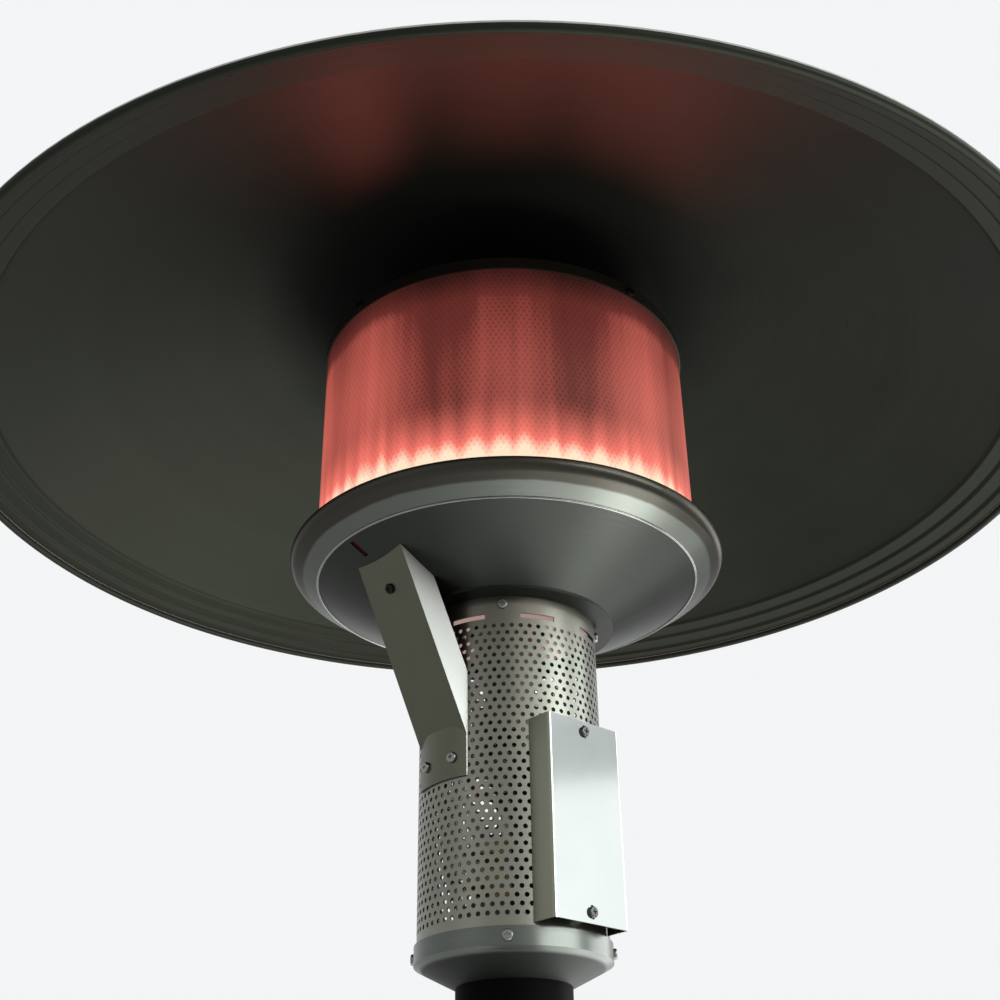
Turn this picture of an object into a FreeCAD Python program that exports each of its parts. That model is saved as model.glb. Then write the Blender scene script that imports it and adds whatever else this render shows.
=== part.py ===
import FreeCAD, Part
import math
import os

# Head of a post-mounted patio heater: post end, perforated control housing, burner pan,
# glowing screen and spun reflector, with the gas train and the pilot inside.
# Frame: origin at the centre of the post's lower end, +Z up, -Y towards the viewer.
# An azimuth is counted from -Y towards +X. Lengths are in millimetres, angles in degrees.

# Fits
SLIP = 0.25          # between pieces that are assembled once
RUN = 0.05           # radial running fit of a piece that moves
SEAT = 0.3           # between a moving piece and the face that carries it
REST = 0.05          # under a piece that stands on a slope

# Post and base cup
POST_OD = 76.2
POST_WALL = 2.0
POST_LENGTH = 90.0   # below the base cup
POST_INSERT = 46.0
POST_SWAGE = 0.5     # how far the inserted end is drawn in
CUP_SHEET = 1.6
CUP_CONE_HEIGHT = 14.0
CUP_BAND_HEIGHT = 12.0
CUP_STOP = 4.0       # how far the stop at the sleeve's top reaches over the post
POST_BOLT_COUNT = 3
POST_BOLT_RADIUS = 3.0
POST_BOLT_GRIP = 8.0
POST_BOLT_HEAD_RADIUS = 5.8
POST_BOLT_HEAD_HEIGHT = 4.0
POST_BOLT_RISE = 25.0

# Housing
HOUSING_OD = 126.6
HOUSING_WALL = 1.0
HOUSING_LENGTH = 235.0
HOUSING_SCREW_COUNT = 4
HOUSING_SCREW_DROP = 6.0
VENT_COUNT = 8
VENT_DROP = 14.5
VENT_HEIGHT = 3.6
VENT_ANGLE = 22.5
COLLAR_RADIUS = 77.0
COLLAR_PLATE = 2.0
COLLAR_SPIGOT = 11.0
COLLAR_WALL = 1.6
COLLAR_BORE_GAP = 4.0

# Small screws
SCREW_RADIUS = 1.9
SCREW_LENGTH = 7.0
SCREW_HEAD_RADIUS = 3.6
SCREW_HEAD_HEIGHT = 2.2
SCREW_RECESS_WIDTH = 0.9
SCREW_RECESS_DEPTH = 1.0

# Burner pan
PAN_SHEET = 1.2
PAN_CONE_RADIUS = 140.0
PAN_CONE_RISE = 33.0
PAN_BAND_RISE = 18.0
PAN_RIM_RADIUS = 161.0
PAN_LIP_RADIUS = 9.0
PAN_HEM_RADIUS = 1.8
PAN_SLOT_AZIMUTH = -48.5
PAN_SLOT_RADIUS = 130.0
PAN_SLOT_LENGTH = 13.0
PAN_SLOT_WIDTH = 4.0
PAN_BOLT_COUNT = 4
PAN_BOLT_OFFSET = 12.0
PAN_BOLT_RADIUS = 2.5
PAN_BOLT_HEAD_RADIUS = 4.6
PAN_BOLT_HEAD_HEIGHT = 3.2
PAN_NUT_HEIGHT = 4.0

# Burner tube and head
TUBE_RADIUS = 24.0
TUBE_WALL = 1.5
TUBE_THROAT_RADIUS = 16.0
TUBE_RISE = 39.0
TUBE_DROP = 105.0
TUBE_MOUTH_LENGTH = 28.0
TUBE_CONVERGE = 18.0
TUBE_DIVERGE = 40.0
TUBE_SPIGOT = 4.0
TUBE_FLANGE_EDGE = 8.0
TUBE_FLANGE = 2.0
TUBE_SHOULDER = 12.0
TUBE_LIP = 2.0
AIR_HOLE_COUNT = 4
AIR_HOLE_ANGLE = 44.0
AIR_HOLE_HEIGHT = 13.0
AIR_HOLE_RISE = 8.0
SHUTTER_WALL = 1.5
SHUTTER_HEIGHT = 23.0
SHUTTER_TAB = 9.0
SHUTTER_TAB_WIDTH = 8.0
HEAD_RADIUS = 96.0
HEAD_HEIGHT = 18.0
HEAD_SHEET = 1.5
HEAD_LID_LIP = 4.0
PORT_COUNT = 44
PORT_RADIUS = 2.0
PORT_RISE = 9.0

# Emitter screen
SCREEN_RADIUS = 142.0
SCREEN_WALL = 1.0
SCREEN_HEIGHT = 195.0
SCREEN_RING_WALL = 1.5
SCREEN_RING_HEIGHT = 16.0
SCREEN_SCREW_COUNT = 4
SCREEN_SCREW_AZIMUTH = 45.0
CAP_SHEET = 1.2
CAP_LIP = 8.0

# Reflector and its supports
REFLECTOR_RADIUS = 432.0
REFLECTOR_SHEET = 1.2
CROWN_RADIUS = 128.0
DOME_DROP = 122.0
DOME_BULGE = 14.0
BRIM_WIDTH = 36.5
BRIM_STEP_COUNT = 3
BRIM_STEP_DROP = 3.0
BRIM_STEP_RUN = 2.0
BRIM_TREAD_DROP = 3.0
BRIM_HEM_RADIUS = 3.5
STUD_COUNT = 4
STUD_CIRCLE = 100.0
STUD_RADIUS = 3.0
STUD_THREAD = 16.0
SPACER_LENGTH = 56.6
SPACER_RADIUS = 6.0
WASHER_RADIUS = 10.0
WASHER_SHEET = 1.5
WING_HUB_RADIUS = 6.0
WING_HUB_HEIGHT = 8.0
WING_SPAN = 34.0
WING_SHEET = 2.5
WING_HEIGHT = 12.0

# Pilot channel and what it holds
CHANNEL_AZIMUTH = -45.0
CHANNEL_WIDTH = 48.0
CHANNEL_DEPTH = 20.0
CHANNEL_SHEET = 1.2
CHANNEL_LEAN = 25.7
CHANNEL_FOOT_DROP = 90.0
CHANNEL_TAB_HEIGHT = 36.0
CHANNEL_SCREW_SPREAD = 26.0
CHANNEL_SCREW_DROP = 22.0
LINE_DEPTH = 10.0    # the lines' depth behind the channel's outer face
LINE_SETBACK = 14.3  # the lines' distance from the housing's inner wall
LINE_KNEE_BEND = 28.0
LINE_BEND = 14.0
LINE_SLOT_HEIGHT = 32.0
BRACKET_DROP = 8.0   # below the pan, up to the bracket's plate
BRACKET_SHEET = 1.5
BRACKET_DEPTH = 15.0
BRACKET_TAB_WIDTH = 16.0
BRACKET_TAB_HEIGHT = 14.0
PILOT_RADIUS = 5.0
PILOT_BELOW = 8.0
PILOT_ABOVE = 56.0
PILOT_HOOD_RADIUS = 6.5
PILOT_HOOD_LENGTH = 12.0
PILOT_HOOD_SLOT = 4.0
PILOT_TUBE_RADIUS = 3.0
PILOT_PORT_RISE = 8.4
THERMOCOUPLE_SIDE = -12.0
THERMOCOUPLE_TIP_RADIUS = 2.4
THERMOCOUPLE_LEAD_RADIUS = 1.6
THERMOCOUPLE_ABOVE = 60.0
THERMOCOUPLE_PORT_DROP = 8.4
ELECTRODE_SIDE = 13.0
ELECTRODE_RADIUS = 3.2
ELECTRODE_ABOVE = 44.0
ELECTRODE_WIRE_RADIUS = 0.9
ELECTRODE_WIRE_LENGTH = 15.0
LEAD_RADIUS = 2.6
LINE_NUT_RADIUS = 5.5
LINE_NUT_LENGTH = 8.0

# Controls behind the cover
CONTROL_AZIMUTH = 45.0
PLATE_SETBACK = 16.8
PLATE_SHEET = 1.5
PLATE_INSET_LOW = 13.0
PLATE_INSET_HIGH = 17.0
WINDOW_WIDTH = 48.0
VALVE_GAP = 3.4      # over the base cup's sleeve
VALVE_WIDTH = 40.0
VALVE_HEIGHT = 42.0
VALVE_BACK = 16.0
VALVE_EDGE = 3.0
STEM_SIDE = 6.0
STEM_DROP = 4.0
STEM_RADIUS = 4.0
STEM_DEPTH = 18.0
CONTROL_CLEARANCE = 1.5   # between the controls and the cover
KNOB_RADIUS = 13.0
KNOB_HEIGHT = 12.0
KNOB_GRIP_WIDTH = 6.0
KNOB_GRIP_HEIGHT = 6.0
RESET_SIDE = -14.0
RESET_STEM_RADIUS = 2.5
RESET_DEPTH = 16.0
RESET_RADIUS = 5.0
RESET_HEIGHT = 8.0
RESET_TRAVEL = 4.0
IGNITER_RISE = 24.0
IGNITER_SIDE = -12.0
IGNITER_RADIUS = 8.0
IGNITER_LENGTH = 36.0
IGNITER_NECK_RADIUS = 6.5
IGNITER_NECK_LENGTH = 9.0
IGNITER_NUT_RADIUS = 9.5
IGNITER_NUT_HEIGHT = 4.5
IGNITER_BUTTON_RADIUS = 4.5
IGNITER_BUTTON_DEPTH = 16.0
IGNITER_CAP_RADIUS = 6.0
IGNITER_CAP_HEIGHT = 7.0
IGNITER_TRAVEL = 6.0
COVER_WIDTH = 64.4
COVER_HEIGHT = 132.0
COVER_STAND = 10.7   # its front face off the housing
COVER_SHEET = 1.0
COVER_BEND = 2.0
COVER_RISE = 2.0     # over the base cup's band
COVER_GAP = 0.4
COVER_SCREW_INSET = 7.0
COVER_SLOT_WIDTH = 4.4
COVER_SLOT_LENGTH = 9.0
STANDOFF_RADIUS = 4.5
COVER_SCREW_LENGTH = 8.0

# Gas train
PIPE_RADIUS = 6.35
PIPE_WALL = 1.2
INLET_NUT_RADIUS = 11.0
INLET_NUT_HEIGHT = 14.0
COUPLING_RADIUS = 14.0
COUPLING_Z = 28.0
COUPLING_HEIGHT = 34.0
COUPLING_BORE_RADIUS = 7.3
COUPLING_BORE_DEPTH = 16.0
RISER_RADIUS = 6.5
RISER_WALL = 1.5
ORIFICE_HEX_RADIUS = 9.0
ORIFICE_HEX_HEIGHT = 9.0
ORIFICE_TIP_RADIUS = 4.0
ORIFICE_TIP_LENGTH = 8.0
ORIFICE_HOLE_RADIUS = 0.9

# Worked-out places
V = FreeCAD.Vector
ORIGIN = V(0, 0, 0)
UP = V(0, 0, 1)
OUT = V(1, 0, 0)
PAST = 1.0           # how far a cutter runs past the face that it cuts

post_r = POST_OD / 2
housing_r = HOUSING_OD / 2
housing_in = housing_r - HOUSING_WALL
insert_r = post_r - POST_SWAGE
sleeve_in = insert_r + SLIP
sleeve_out = sleeve_in + CUP_SHEET
band_in = housing_r + SLIP
band_out = band_in + CUP_SHEET
cup_z = POST_LENGTH
band_z = cup_z + CUP_CONE_HEIGHT
cup_slope = CUP_CONE_HEIGHT / (band_out - sleeve_in)
cup_rise = CUP_SHEET * math.hypot(1, cup_slope)
post_top = cup_z + POST_INSERT
housing_z = cup_z + (housing_r - sleeve_in) * cup_slope + cup_rise + REST
housing_top = housing_z + HOUSING_LENGTH
collar_bore = TUBE_RADIUS + COLLAR_BORE_GAP
pan_z = housing_top + COLLAR_PLATE
floor_z = pan_z + PAN_SHEET
cone_slope = PAN_CONE_RISE / (PAN_CONE_RADIUS - COLLAR_RADIUS)
pan_cone_z = pan_z + PAN_CONE_RISE
rim_z = pan_cone_z + PAN_BAND_RISE
tube_top = floor_z + TUBE_RISE
tube_mouth = pan_z - TUBE_DROP
head_z = tube_top
bolt_circle = TUBE_RADIUS + PAN_BOLT_OFFSET
valve_bottom = post_top + CUP_SHEET + VALVE_GAP
valve_z = valve_bottom + VALVE_HEIGHT / 2
valve_top = valve_bottom + VALVE_HEIGHT
igniter_z = valve_top + IGNITER_RISE
plate_reach = housing_in - PLATE_SETBACK
valve_front = plate_reach - PLATE_SHEET
cover_z = band_z + CUP_BAND_HEIGHT + COVER_RISE
cover_top = cover_z + COVER_HEIGHT
cover_reach = housing_r + COVER_STAND
cover_inside = cover_reach - COVER_SHEET
plate_z = cover_z + PLATE_INSET_LOW
plate_top = cover_top - PLATE_INSET_HIGH
line_reach = housing_in - LINE_SETBACK
foot_z = housing_top - CHANNEL_FOOT_DROP
lean = math.radians(CHANNEL_LEAN)


def path(start, *steps):
    """Edges in the XZ plane: a step is an end point, or the middle and end point of an arc."""
    edges = []
    here = V(start[0], 0, start[1])
    for step in steps:
        if isinstance(step[0], tuple):
            mid, end = (V(p[0], 0, p[1]) for p in step)
            edges.append(Part.Arc(here, mid, end).toShape())
        else:
            end = V(step[0], 0, step[1])
            edges.append(Part.LineSegment(here, end).toShape())
        here = end
    return Part.Wire(edges)


def turned(start, *steps):
    """Solid turned about the axis from a closed outline."""
    return Part.Face(path(start, *steps, start)).revolve(ORIGIN, UP, 360)


def spun(thickness, start, *steps, hem=None):
    """Sheet spun about the axis along an open outline, with a hem of a given radius, height and bead."""
    strip = path(start, *steps).makeOffset2D(thickness, 2, True, True)
    if hem:
        r, z, bead = hem
        roll = Part.Face(Part.Wire(Part.makeCircle(bead, V(r, 0, z), V(0, 1, 0))))
        strip = strip.fuse(roll).removeSplitter().Faces[0]
    return strip.revolve(ORIGIN, UP, 360)


def rod(radius, length, base=ORIGIN, direction=UP):
    return Part.makeCylinder(radius, length, base, direction)


def tube(outer, inner, length, base=ORIGIN, direction=UP):
    bore = rod(inner, length + 2 * PAST, base - direction * PAST, direction)
    return rod(outer, length, base, direction).cut(bore)


def hexagon(radius, length, base=ORIGIN, direction=UP):
    """Six-sided prism, as wide across its corners as the circle of this radius."""
    corners = []
    for i in range(7):
        corners.append(V(radius * math.cos(i * math.pi / 3), radius * math.sin(i * math.pi / 3), 0))
    prism = Part.Face(Part.makePolygon(corners)).extrude(UP * length)
    prism.Placement = FreeCAD.Placement(base, FreeCAD.Rotation(UP, direction))
    return prism


def block(x0, x1, y0, y1, z0, z1):
    return Part.makeBox(x1 - x0, y1 - y0, z1 - z0, V(x0, y0, z0))


def facing(shape, azimuth):
    """Turn a shape made along +X to face an azimuth."""
    turned_shape = shape.copy()
    turned_shape.rotate(ORIGIN, UP, azimuth - 90)
    return turned_shape


def around(shape, count, first=0.0):
    """A shape made along +X, repeated at even azimuths."""
    return [facing(shape, first + i * 360 / count) for i in range(count)]


def group(shapes):
    return Part.makeCompound(shapes)


def pan_head(x, y, z, length=SCREW_LENGTH):
    """Cross-recessed screw along X: its head sits outside x and its shank runs inwards."""
    crown = x + SCREW_HEAD_HEIGHT
    shank = rod(SCREW_RADIUS, length, V(x - length, y, z), OUT)
    head = rod(SCREW_HEAD_RADIUS, SCREW_HEAD_HEIGHT, V(x, y, z), OUT)
    rim = [e for e in head.Edges if len(e.Vertexes) == 1 and abs(e.CenterOfMass.x - crown) < REST]
    head = head.makeFillet(SCREW_HEAD_HEIGHT / 2, rim)
    arm = SCREW_HEAD_RADIUS / 2
    half = SCREW_RECESS_WIDTH / 2
    deep = crown - SCREW_RECESS_DEPTH
    upright = block(deep, crown + PAST, y - half, y + half, z - arm, z + arm)
    level = block(deep, crown + PAST, y - arm, y + arm, z - half, z + half)
    return head.fuse(shank).cut([upright, level]).removeSplitter()


def screw_hole(x, y, z):
    """Cutter for a small screw that passes a wall near x."""
    return rod(SCREW_RADIUS + SLIP, 2 * SCREW_LENGTH, V(x - SCREW_LENGTH, y, z), OUT)


def pan_under(radius):
    """Height of the pan's underside on its cone or band."""
    if radius <= PAN_CONE_RADIUS:
        return pan_z + (radius - COLLAR_RADIUS) * cone_slope
    return pan_cone_z + (radius - PAN_CONE_RADIUS) * band_slope()


def lip_start():
    """Point where the pan's band runs into its round lip: a tangent from the band's lower edge."""
    dx = PAN_RIM_RADIUS - PAN_LIP_RADIUS - PAN_CONE_RADIUS
    dz = PAN_BAND_RISE
    away = math.hypot(dx, dz)
    turn = math.atan2(dz, dx) - math.asin(PAN_LIP_RADIUS / away)
    run = math.sqrt(away ** 2 - PAN_LIP_RADIUS ** 2)
    return (PAN_CONE_RADIUS + run * math.cos(turn), pan_cone_z + run * math.sin(turn))


def band_slope():
    r, z = lip_start()
    return (z - pan_cone_z) / (r - PAN_CONE_RADIUS)


def pan_seat(radius):
    """Height at which an edge of this radius stands on the pan's band from inside."""
    return pan_under(radius) + PAN_SHEET * math.hypot(1, band_slope()) + REST


def post_tube():
    bore = insert_r - POST_WALL
    insert = tube(insert_r, bore, post_top - REST - cup_z, V(0, 0, cup_z))
    post = tube(post_r, bore, cup_z).fuse(insert).removeSplitter()
    holes = rod(POST_BOLT_RADIUS + SLIP, POST_OD, V(0, 0, cup_z + POST_BOLT_RISE), OUT)
    return post.cut(around(holes, POST_BOLT_COUNT))


def post_bolts():
    z = cup_z + POST_BOLT_RISE
    head = hexagon(POST_BOLT_HEAD_RADIUS, POST_BOLT_HEAD_HEIGHT, V(sleeve_out, 0, z), OUT)
    shank = rod(POST_BOLT_RADIUS, POST_BOLT_GRIP, V(sleeve_out - POST_BOLT_GRIP, 0, z), OUT)
    return group(around(head.fuse(shank), POST_BOLT_COUNT))


def base_cup():
    stop_r = post_r - CUP_STOP
    sleeve_top = post_top + CUP_SHEET
    cup = turned(
        (sleeve_in, cup_z),
        (band_out, band_z),
        (band_out, band_z + CUP_BAND_HEIGHT),
        (band_in, band_z + CUP_BAND_HEIGHT),
        (band_in, cup_z + (band_in - sleeve_in) * cup_slope + cup_rise),
        (sleeve_out, cup_z + (sleeve_out - sleeve_in) * cup_slope + cup_rise),
        (sleeve_out, sleeve_top),
        (stop_r, sleeve_top),
        (stop_r, post_top),
        (sleeve_in, post_top),
    )
    bolt = rod(POST_BOLT_RADIUS + SLIP, sleeve_out, V(0, 0, cup_z + POST_BOLT_RISE), OUT)
    bolt_holes = around(bolt, POST_BOLT_COUNT)
    screw_holes = around(screw_hole(band_out, 0, lower_screw_z()), HOUSING_SCREW_COUNT)
    return cup.cut(bolt_holes + screw_holes)


def lower_screw_z():
    return band_z + CUP_BAND_HEIGHT / 2


def upper_screw_z():
    return housing_top - HOUSING_SCREW_DROP


def housing_screws(x, z):
    return group(around(pan_head(x, 0, z), HOUSING_SCREW_COUNT))


def housing_shell():
    shell = tube(housing_r, housing_in, HOUSING_LENGTH, V(0, 0, housing_z))
    cutters = around(screw_hole(housing_r, 0, lower_screw_z()), HOUSING_SCREW_COUNT)
    cutters += around(screw_hole(housing_r, 0, upper_screw_z()), HOUSING_SCREW_COUNT)
    cutters += around(vent(), VENT_COUNT, 180 / VENT_COUNT)
    window = block(0, HOUSING_OD, -WINDOW_WIDTH / 2, WINDOW_WIDTH / 2, plate_z, plate_top)
    cutters.append(facing(window, CONTROL_AZIMUTH))
    half = CHANNEL_WIDTH / 2 - 2 * CHANNEL_SHEET
    middle = line_point(0).z + (housing_r - line_point(0).x) / math.tan(lean)
    z0 = middle - LINE_SLOT_HEIGHT / 2
    slot = block(0, HOUSING_OD, -half, half, z0, z0 + LINE_SLOT_HEIGHT)
    cutters.append(facing(slot, CHANNEL_AZIMUTH))
    foot_hole = screw_hole(housing_r, 0, channel_screw_z())
    cutters += [facing(foot_hole, azimuth) for azimuth in channel_screw_azimuths()]
    return shell.cut(cutters)


def vent():
    """Cutter for one slot of the housing's top band."""
    z = housing_top - VENT_DROP - VENT_HEIGHT / 2
    slot = Part.makeCylinder(HOUSING_OD, VENT_HEIGHT, V(0, 0, z), UP, VENT_ANGLE)
    slot.rotate(ORIGIN, UP, -VENT_ANGLE / 2)
    return slot


def neck_collar():
    spigot_out = housing_in - SLIP
    spigot_in = spigot_out - COLLAR_WALL
    collar = turned(
        (collar_bore, housing_top),
        (spigot_in, housing_top),
        (spigot_in, housing_top - COLLAR_SPIGOT),
        (spigot_out, housing_top - COLLAR_SPIGOT),
        (spigot_out, housing_top),
        (COLLAR_RADIUS, housing_top),
        (COLLAR_RADIUS, pan_z),
        (collar_bore, pan_z),
    )
    holes = around(screw_hole(housing_r, 0, upper_screw_z()), HOUSING_SCREW_COUNT)
    return collar.cut(holes + pan_bolt_holes())


def pan_bolt_holes():
    hole = rod(PAN_BOLT_RADIUS + SLIP, TUBE_DROP, V(bolt_circle, 0, pan_z - TUBE_DROP / 2))
    return around(hole, PAN_BOLT_COUNT)


def burner_pan():
    lip = lip_start()
    mid_turn = (math.atan2(lip[1] - rim_z, lip[0] - PAN_RIM_RADIUS + PAN_LIP_RADIUS)) / 2
    lip_mid = (
        PAN_RIM_RADIUS - PAN_LIP_RADIUS + PAN_LIP_RADIUS * math.cos(mid_turn),
        rim_z + PAN_LIP_RADIUS * math.sin(mid_turn),
    )
    dish = spun(
        PAN_SHEET,
        (collar_bore, pan_z),
        (COLLAR_RADIUS, pan_z),
        (PAN_CONE_RADIUS, pan_cone_z),
        lip,
        (lip_mid, (PAN_RIM_RADIUS, rim_z)),
        hem=(PAN_RIM_RADIUS - PAN_HEM_RADIUS, rim_z, PAN_HEM_RADIUS),
    )
    far = PAN_SLOT_RADIUS + PAN_SLOT_LENGTH / 2
    near = PAN_SLOT_RADIUS - PAN_SLOT_LENGTH / 2
    half = PAN_SLOT_WIDTH / 2
    sight = facing(block(near, far, -half, half, pan_z, rim_z), PAN_SLOT_AZIMUTH)
    return dish.cut(pan_bolt_holes() + [sight, facing(pilot_opening(), CHANNEL_AZIMUTH)])


def pan_bolts():
    z = floor_z + TUBE_FLANGE
    length = TUBE_FLANGE + PAN_SHEET + COLLAR_PLATE + PAN_NUT_HEIGHT + PAST
    head = hexagon(PAN_BOLT_HEAD_RADIUS, PAN_BOLT_HEAD_HEIGHT, V(bolt_circle, 0, z))
    shank = rod(PAN_BOLT_RADIUS, length, V(bolt_circle, 0, z - length))
    return group(around(head.fuse(shank), PAN_BOLT_COUNT))


def pan_nuts():
    base = V(bolt_circle, 0, housing_top - PAN_NUT_HEIGHT)
    nut = hexagon(PAN_BOLT_HEAD_RADIUS, PAN_NUT_HEIGHT, base)
    bore = rod(PAN_BOLT_RADIUS + RUN, PAN_NUT_HEIGHT + 2 * PAST, base - UP * PAST)
    return group(around(nut.cut(bore), PAN_BOLT_COUNT))


def burner_tube():
    mouth_end = tube_mouth + TUBE_MOUTH_LENGTH
    throat = mouth_end + TUBE_CONVERGE
    wide = throat + TUBE_DIVERGE
    body = spun(
        TUBE_WALL,
        (TUBE_RADIUS, tube_mouth),
        (TUBE_RADIUS, mouth_end),
        (TUBE_THROAT_RADIUS, throat),
        (TUBE_RADIUS, wide),
        (TUBE_RADIUS, tube_top + TUBE_SPIGOT),
    )
    inner = TUBE_RADIUS - TUBE_WALL / 2
    flange = tube(bolt_circle + TUBE_FLANGE_EDGE, inner, TUBE_FLANGE, V(0, 0, floor_z))
    shoulder = tube(TUBE_RADIUS + TUBE_SHOULDER, inner, TUBE_FLANGE, V(0, 0, tube_top - TUBE_FLANGE))
    lip = tube(TUBE_RADIUS + SHUTTER_WALL + TUBE_LIP, inner, TUBE_LIP, V(0, 0, tube_mouth))
    body = body.fuse([flange, shoulder, lip])
    return body.cut(around(air_hole(), AIR_HOLE_COUNT) + pan_bolt_holes())


def air_hole():
    z = tube_mouth + AIR_HOLE_RISE
    hole = Part.makeCylinder(2 * TUBE_RADIUS, AIR_HOLE_HEIGHT, V(0, 0, z), UP, AIR_HOLE_ANGLE)
    hole.rotate(ORIGIN, UP, -AIR_HOLE_ANGLE / 2)
    return hole


def air_shutter():
    inner = TUBE_RADIUS + RUN
    outer = inner + SHUTTER_WALL
    z = tube_mouth + TUBE_LIP + SEAT
    sleeve = tube(outer, inner, SHUTTER_HEIGHT, V(0, 0, z))
    sleeve = sleeve.cut(around(air_hole(), AIR_HOLE_COUNT))
    half = SHUTTER_TAB_WIDTH / 2
    top = z + SHUTTER_HEIGHT
    tab = block(inner + SHUTTER_WALL / 2, outer + SHUTTER_TAB, -half, half, top - SHUTTER_WALL, top)
    return sleeve.fuse(facing(tab, 180 / AIR_HOLE_COUNT + 90)).removeSplitter()


def burner_head():
    bowl = spun(
        HEAD_SHEET,
        (TUBE_RADIUS + SLIP, head_z),
        (HEAD_RADIUS, head_z),
        (HEAD_RADIUS, head_z + HEAD_HEIGHT),
    )
    port = rod(PORT_RADIUS, HEAD_RADIUS, V(HEAD_RADIUS / 2, 0, head_z + PORT_RISE), OUT)
    return bowl.cut(around(port, PORT_COUNT))


def burner_lid():
    top = head_z + HEAD_HEIGHT
    outer = HEAD_RADIUS + SLIP + HEAD_SHEET
    plate = rod(outer, HEAD_SHEET, V(0, 0, top))
    lip = tube(outer, HEAD_RADIUS + SLIP, HEAD_LID_LIP, V(0, 0, top - HEAD_LID_LIP))
    return plate.fuse(lip).removeSplitter()


def screen_z():
    return pan_seat(SCREEN_RADIUS)


def screen_holes(z):
    """Cutters for the screws around the screen at a height."""
    return around(screw_hole(SCREEN_RADIUS, 0, z), SCREEN_SCREW_COUNT, SCREEN_SCREW_AZIMUTH)


def screen_ring():
    outer = SCREEN_RADIUS - SCREEN_WALL - SLIP
    inner = outer - SCREEN_RING_WALL
    z = pan_seat(outer)
    ring = tube(outer, inner, SCREEN_RING_HEIGHT, V(0, 0, z))
    return ring.cut(screen_holes(screen_screw_z()))


def screen_screw_z():
    return screen_z() + SCREEN_RING_HEIGHT / 2


def screen_screws():
    screw = pan_head(SCREEN_RADIUS, 0, screen_screw_z())
    return group(around(screw, SCREEN_SCREW_COUNT, SCREEN_SCREW_AZIMUTH))


def cap_z():
    return screen_z() + SCREEN_HEIGHT


def cap_screw_z():
    return cap_z() - CAP_LIP / 2


def cap_outer():
    return SCREEN_RADIUS + SLIP + CAP_SHEET


def emitter_screen():
    screen = tube(SCREEN_RADIUS, SCREEN_RADIUS - SCREEN_WALL, SCREEN_HEIGHT, V(0, 0, screen_z()))
    return screen.cut(screen_holes(screen_screw_z()) + screen_holes(cap_screw_z()))


def screen_cap():
    plate = rod(cap_outer(), CAP_SHEET, V(0, 0, cap_z()))
    lip = tube(cap_outer(), SCREEN_RADIUS + SLIP, CAP_LIP, V(0, 0, cap_z() - CAP_LIP))
    return plate.fuse(lip).removeSplitter().cut(screen_holes(cap_screw_z()))


def cap_screws():
    screw = pan_head(cap_outer(), 0, cap_screw_z())
    return group(around(screw, SCREEN_SCREW_COUNT, SCREEN_SCREW_AZIMUTH))


def stud_z():
    return cap_z() + CAP_SHEET


def crown_z():
    """Underside of the reflector's crown, on top of the spacers."""
    return stud_z() + SPACER_LENGTH


def bowed(start, end, bulge):
    """Middle and end point of an arc that stands off its chord by the bulge, on the upper side."""
    chord = math.hypot(end[0] - start[0], end[1] - start[1])
    mid_r = (start[0] + end[0]) / 2 + bulge * (start[1] - end[1]) / chord
    mid_z = (start[1] + end[1]) / 2 + bulge * (end[0] - start[0]) / chord
    return ((mid_r, mid_z), end)


def reflector():
    z = crown_z()
    crown = (CROWN_RADIUS, z)
    rim_r = REFLECTOR_RADIUS - BRIM_HEM_RADIUS
    brim = (rim_r - BRIM_WIDTH, z - DOME_DROP)
    steps = [crown, bowed(crown, brim, DOME_BULGE)]
    tread = BRIM_WIDTH / BRIM_STEP_COUNT - BRIM_STEP_RUN
    r, z = brim
    for _ in range(BRIM_STEP_COUNT):
        steps.append((r + BRIM_STEP_RUN, z - BRIM_STEP_DROP))
        r, z = r + BRIM_STEP_RUN + tread, z - BRIM_STEP_DROP - BRIM_TREAD_DROP
        steps.append((r, z))
    dish = spun(REFLECTOR_SHEET, (0, crown_z()), *steps, hem=(rim_r, z, BRIM_HEM_RADIUS))
    hole = rod(STUD_RADIUS + SLIP, SPACER_LENGTH, V(STUD_CIRCLE, 0, crown_z() - SPACER_LENGTH / 2))
    return dish.cut(around(hole, STUD_COUNT))


def reflector_studs():
    stud = rod(STUD_RADIUS, SPACER_LENGTH + STUD_THREAD, V(STUD_CIRCLE, 0, stud_z()))
    return group(around(stud, STUD_COUNT))


def reflector_spacers():
    spacer = tube(SPACER_RADIUS, STUD_RADIUS + RUN, SPACER_LENGTH, V(STUD_CIRCLE, 0, stud_z()))
    return group(around(spacer, STUD_COUNT))


def reflector_washers():
    base = V(STUD_CIRCLE, 0, crown_z() + REFLECTOR_SHEET)
    return group(around(tube(WASHER_RADIUS, STUD_RADIUS + RUN, WASHER_SHEET, base), STUD_COUNT))


def reflector_wing_nuts():
    z = crown_z() + REFLECTOR_SHEET + WASHER_SHEET
    hub = rod(WING_HUB_RADIUS, WING_HUB_HEIGHT, V(STUD_CIRCLE, 0, z))
    low = z + WING_HUB_HEIGHT / 2
    high = low + WING_HEIGHT
    half = WING_SPAN / 2
    inner = WING_HUB_RADIUS / 2
    wing = Part.makePolygon([V(0, inner, z), V(0, half, low), V(0, half, high),
                             V(0, half - inner, high), V(0, inner, low), V(0, inner, z)])
    wing = Part.Face(wing).extrude(OUT * WING_SHEET)
    wing.translate(V(STUD_CIRCLE - WING_SHEET / 2, 0, 0))
    bore = rod(STUD_RADIUS + RUN, WING_HUB_HEIGHT + 2 * PAST, V(STUD_CIRCLE, 0, z - PAST))
    nut = hub.fuse([wing, wing.mirror(ORIGIN, V(0, 1, 0))]).cut(bore).removeSplitter()
    return group(around(nut, STUD_COUNT))


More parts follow.
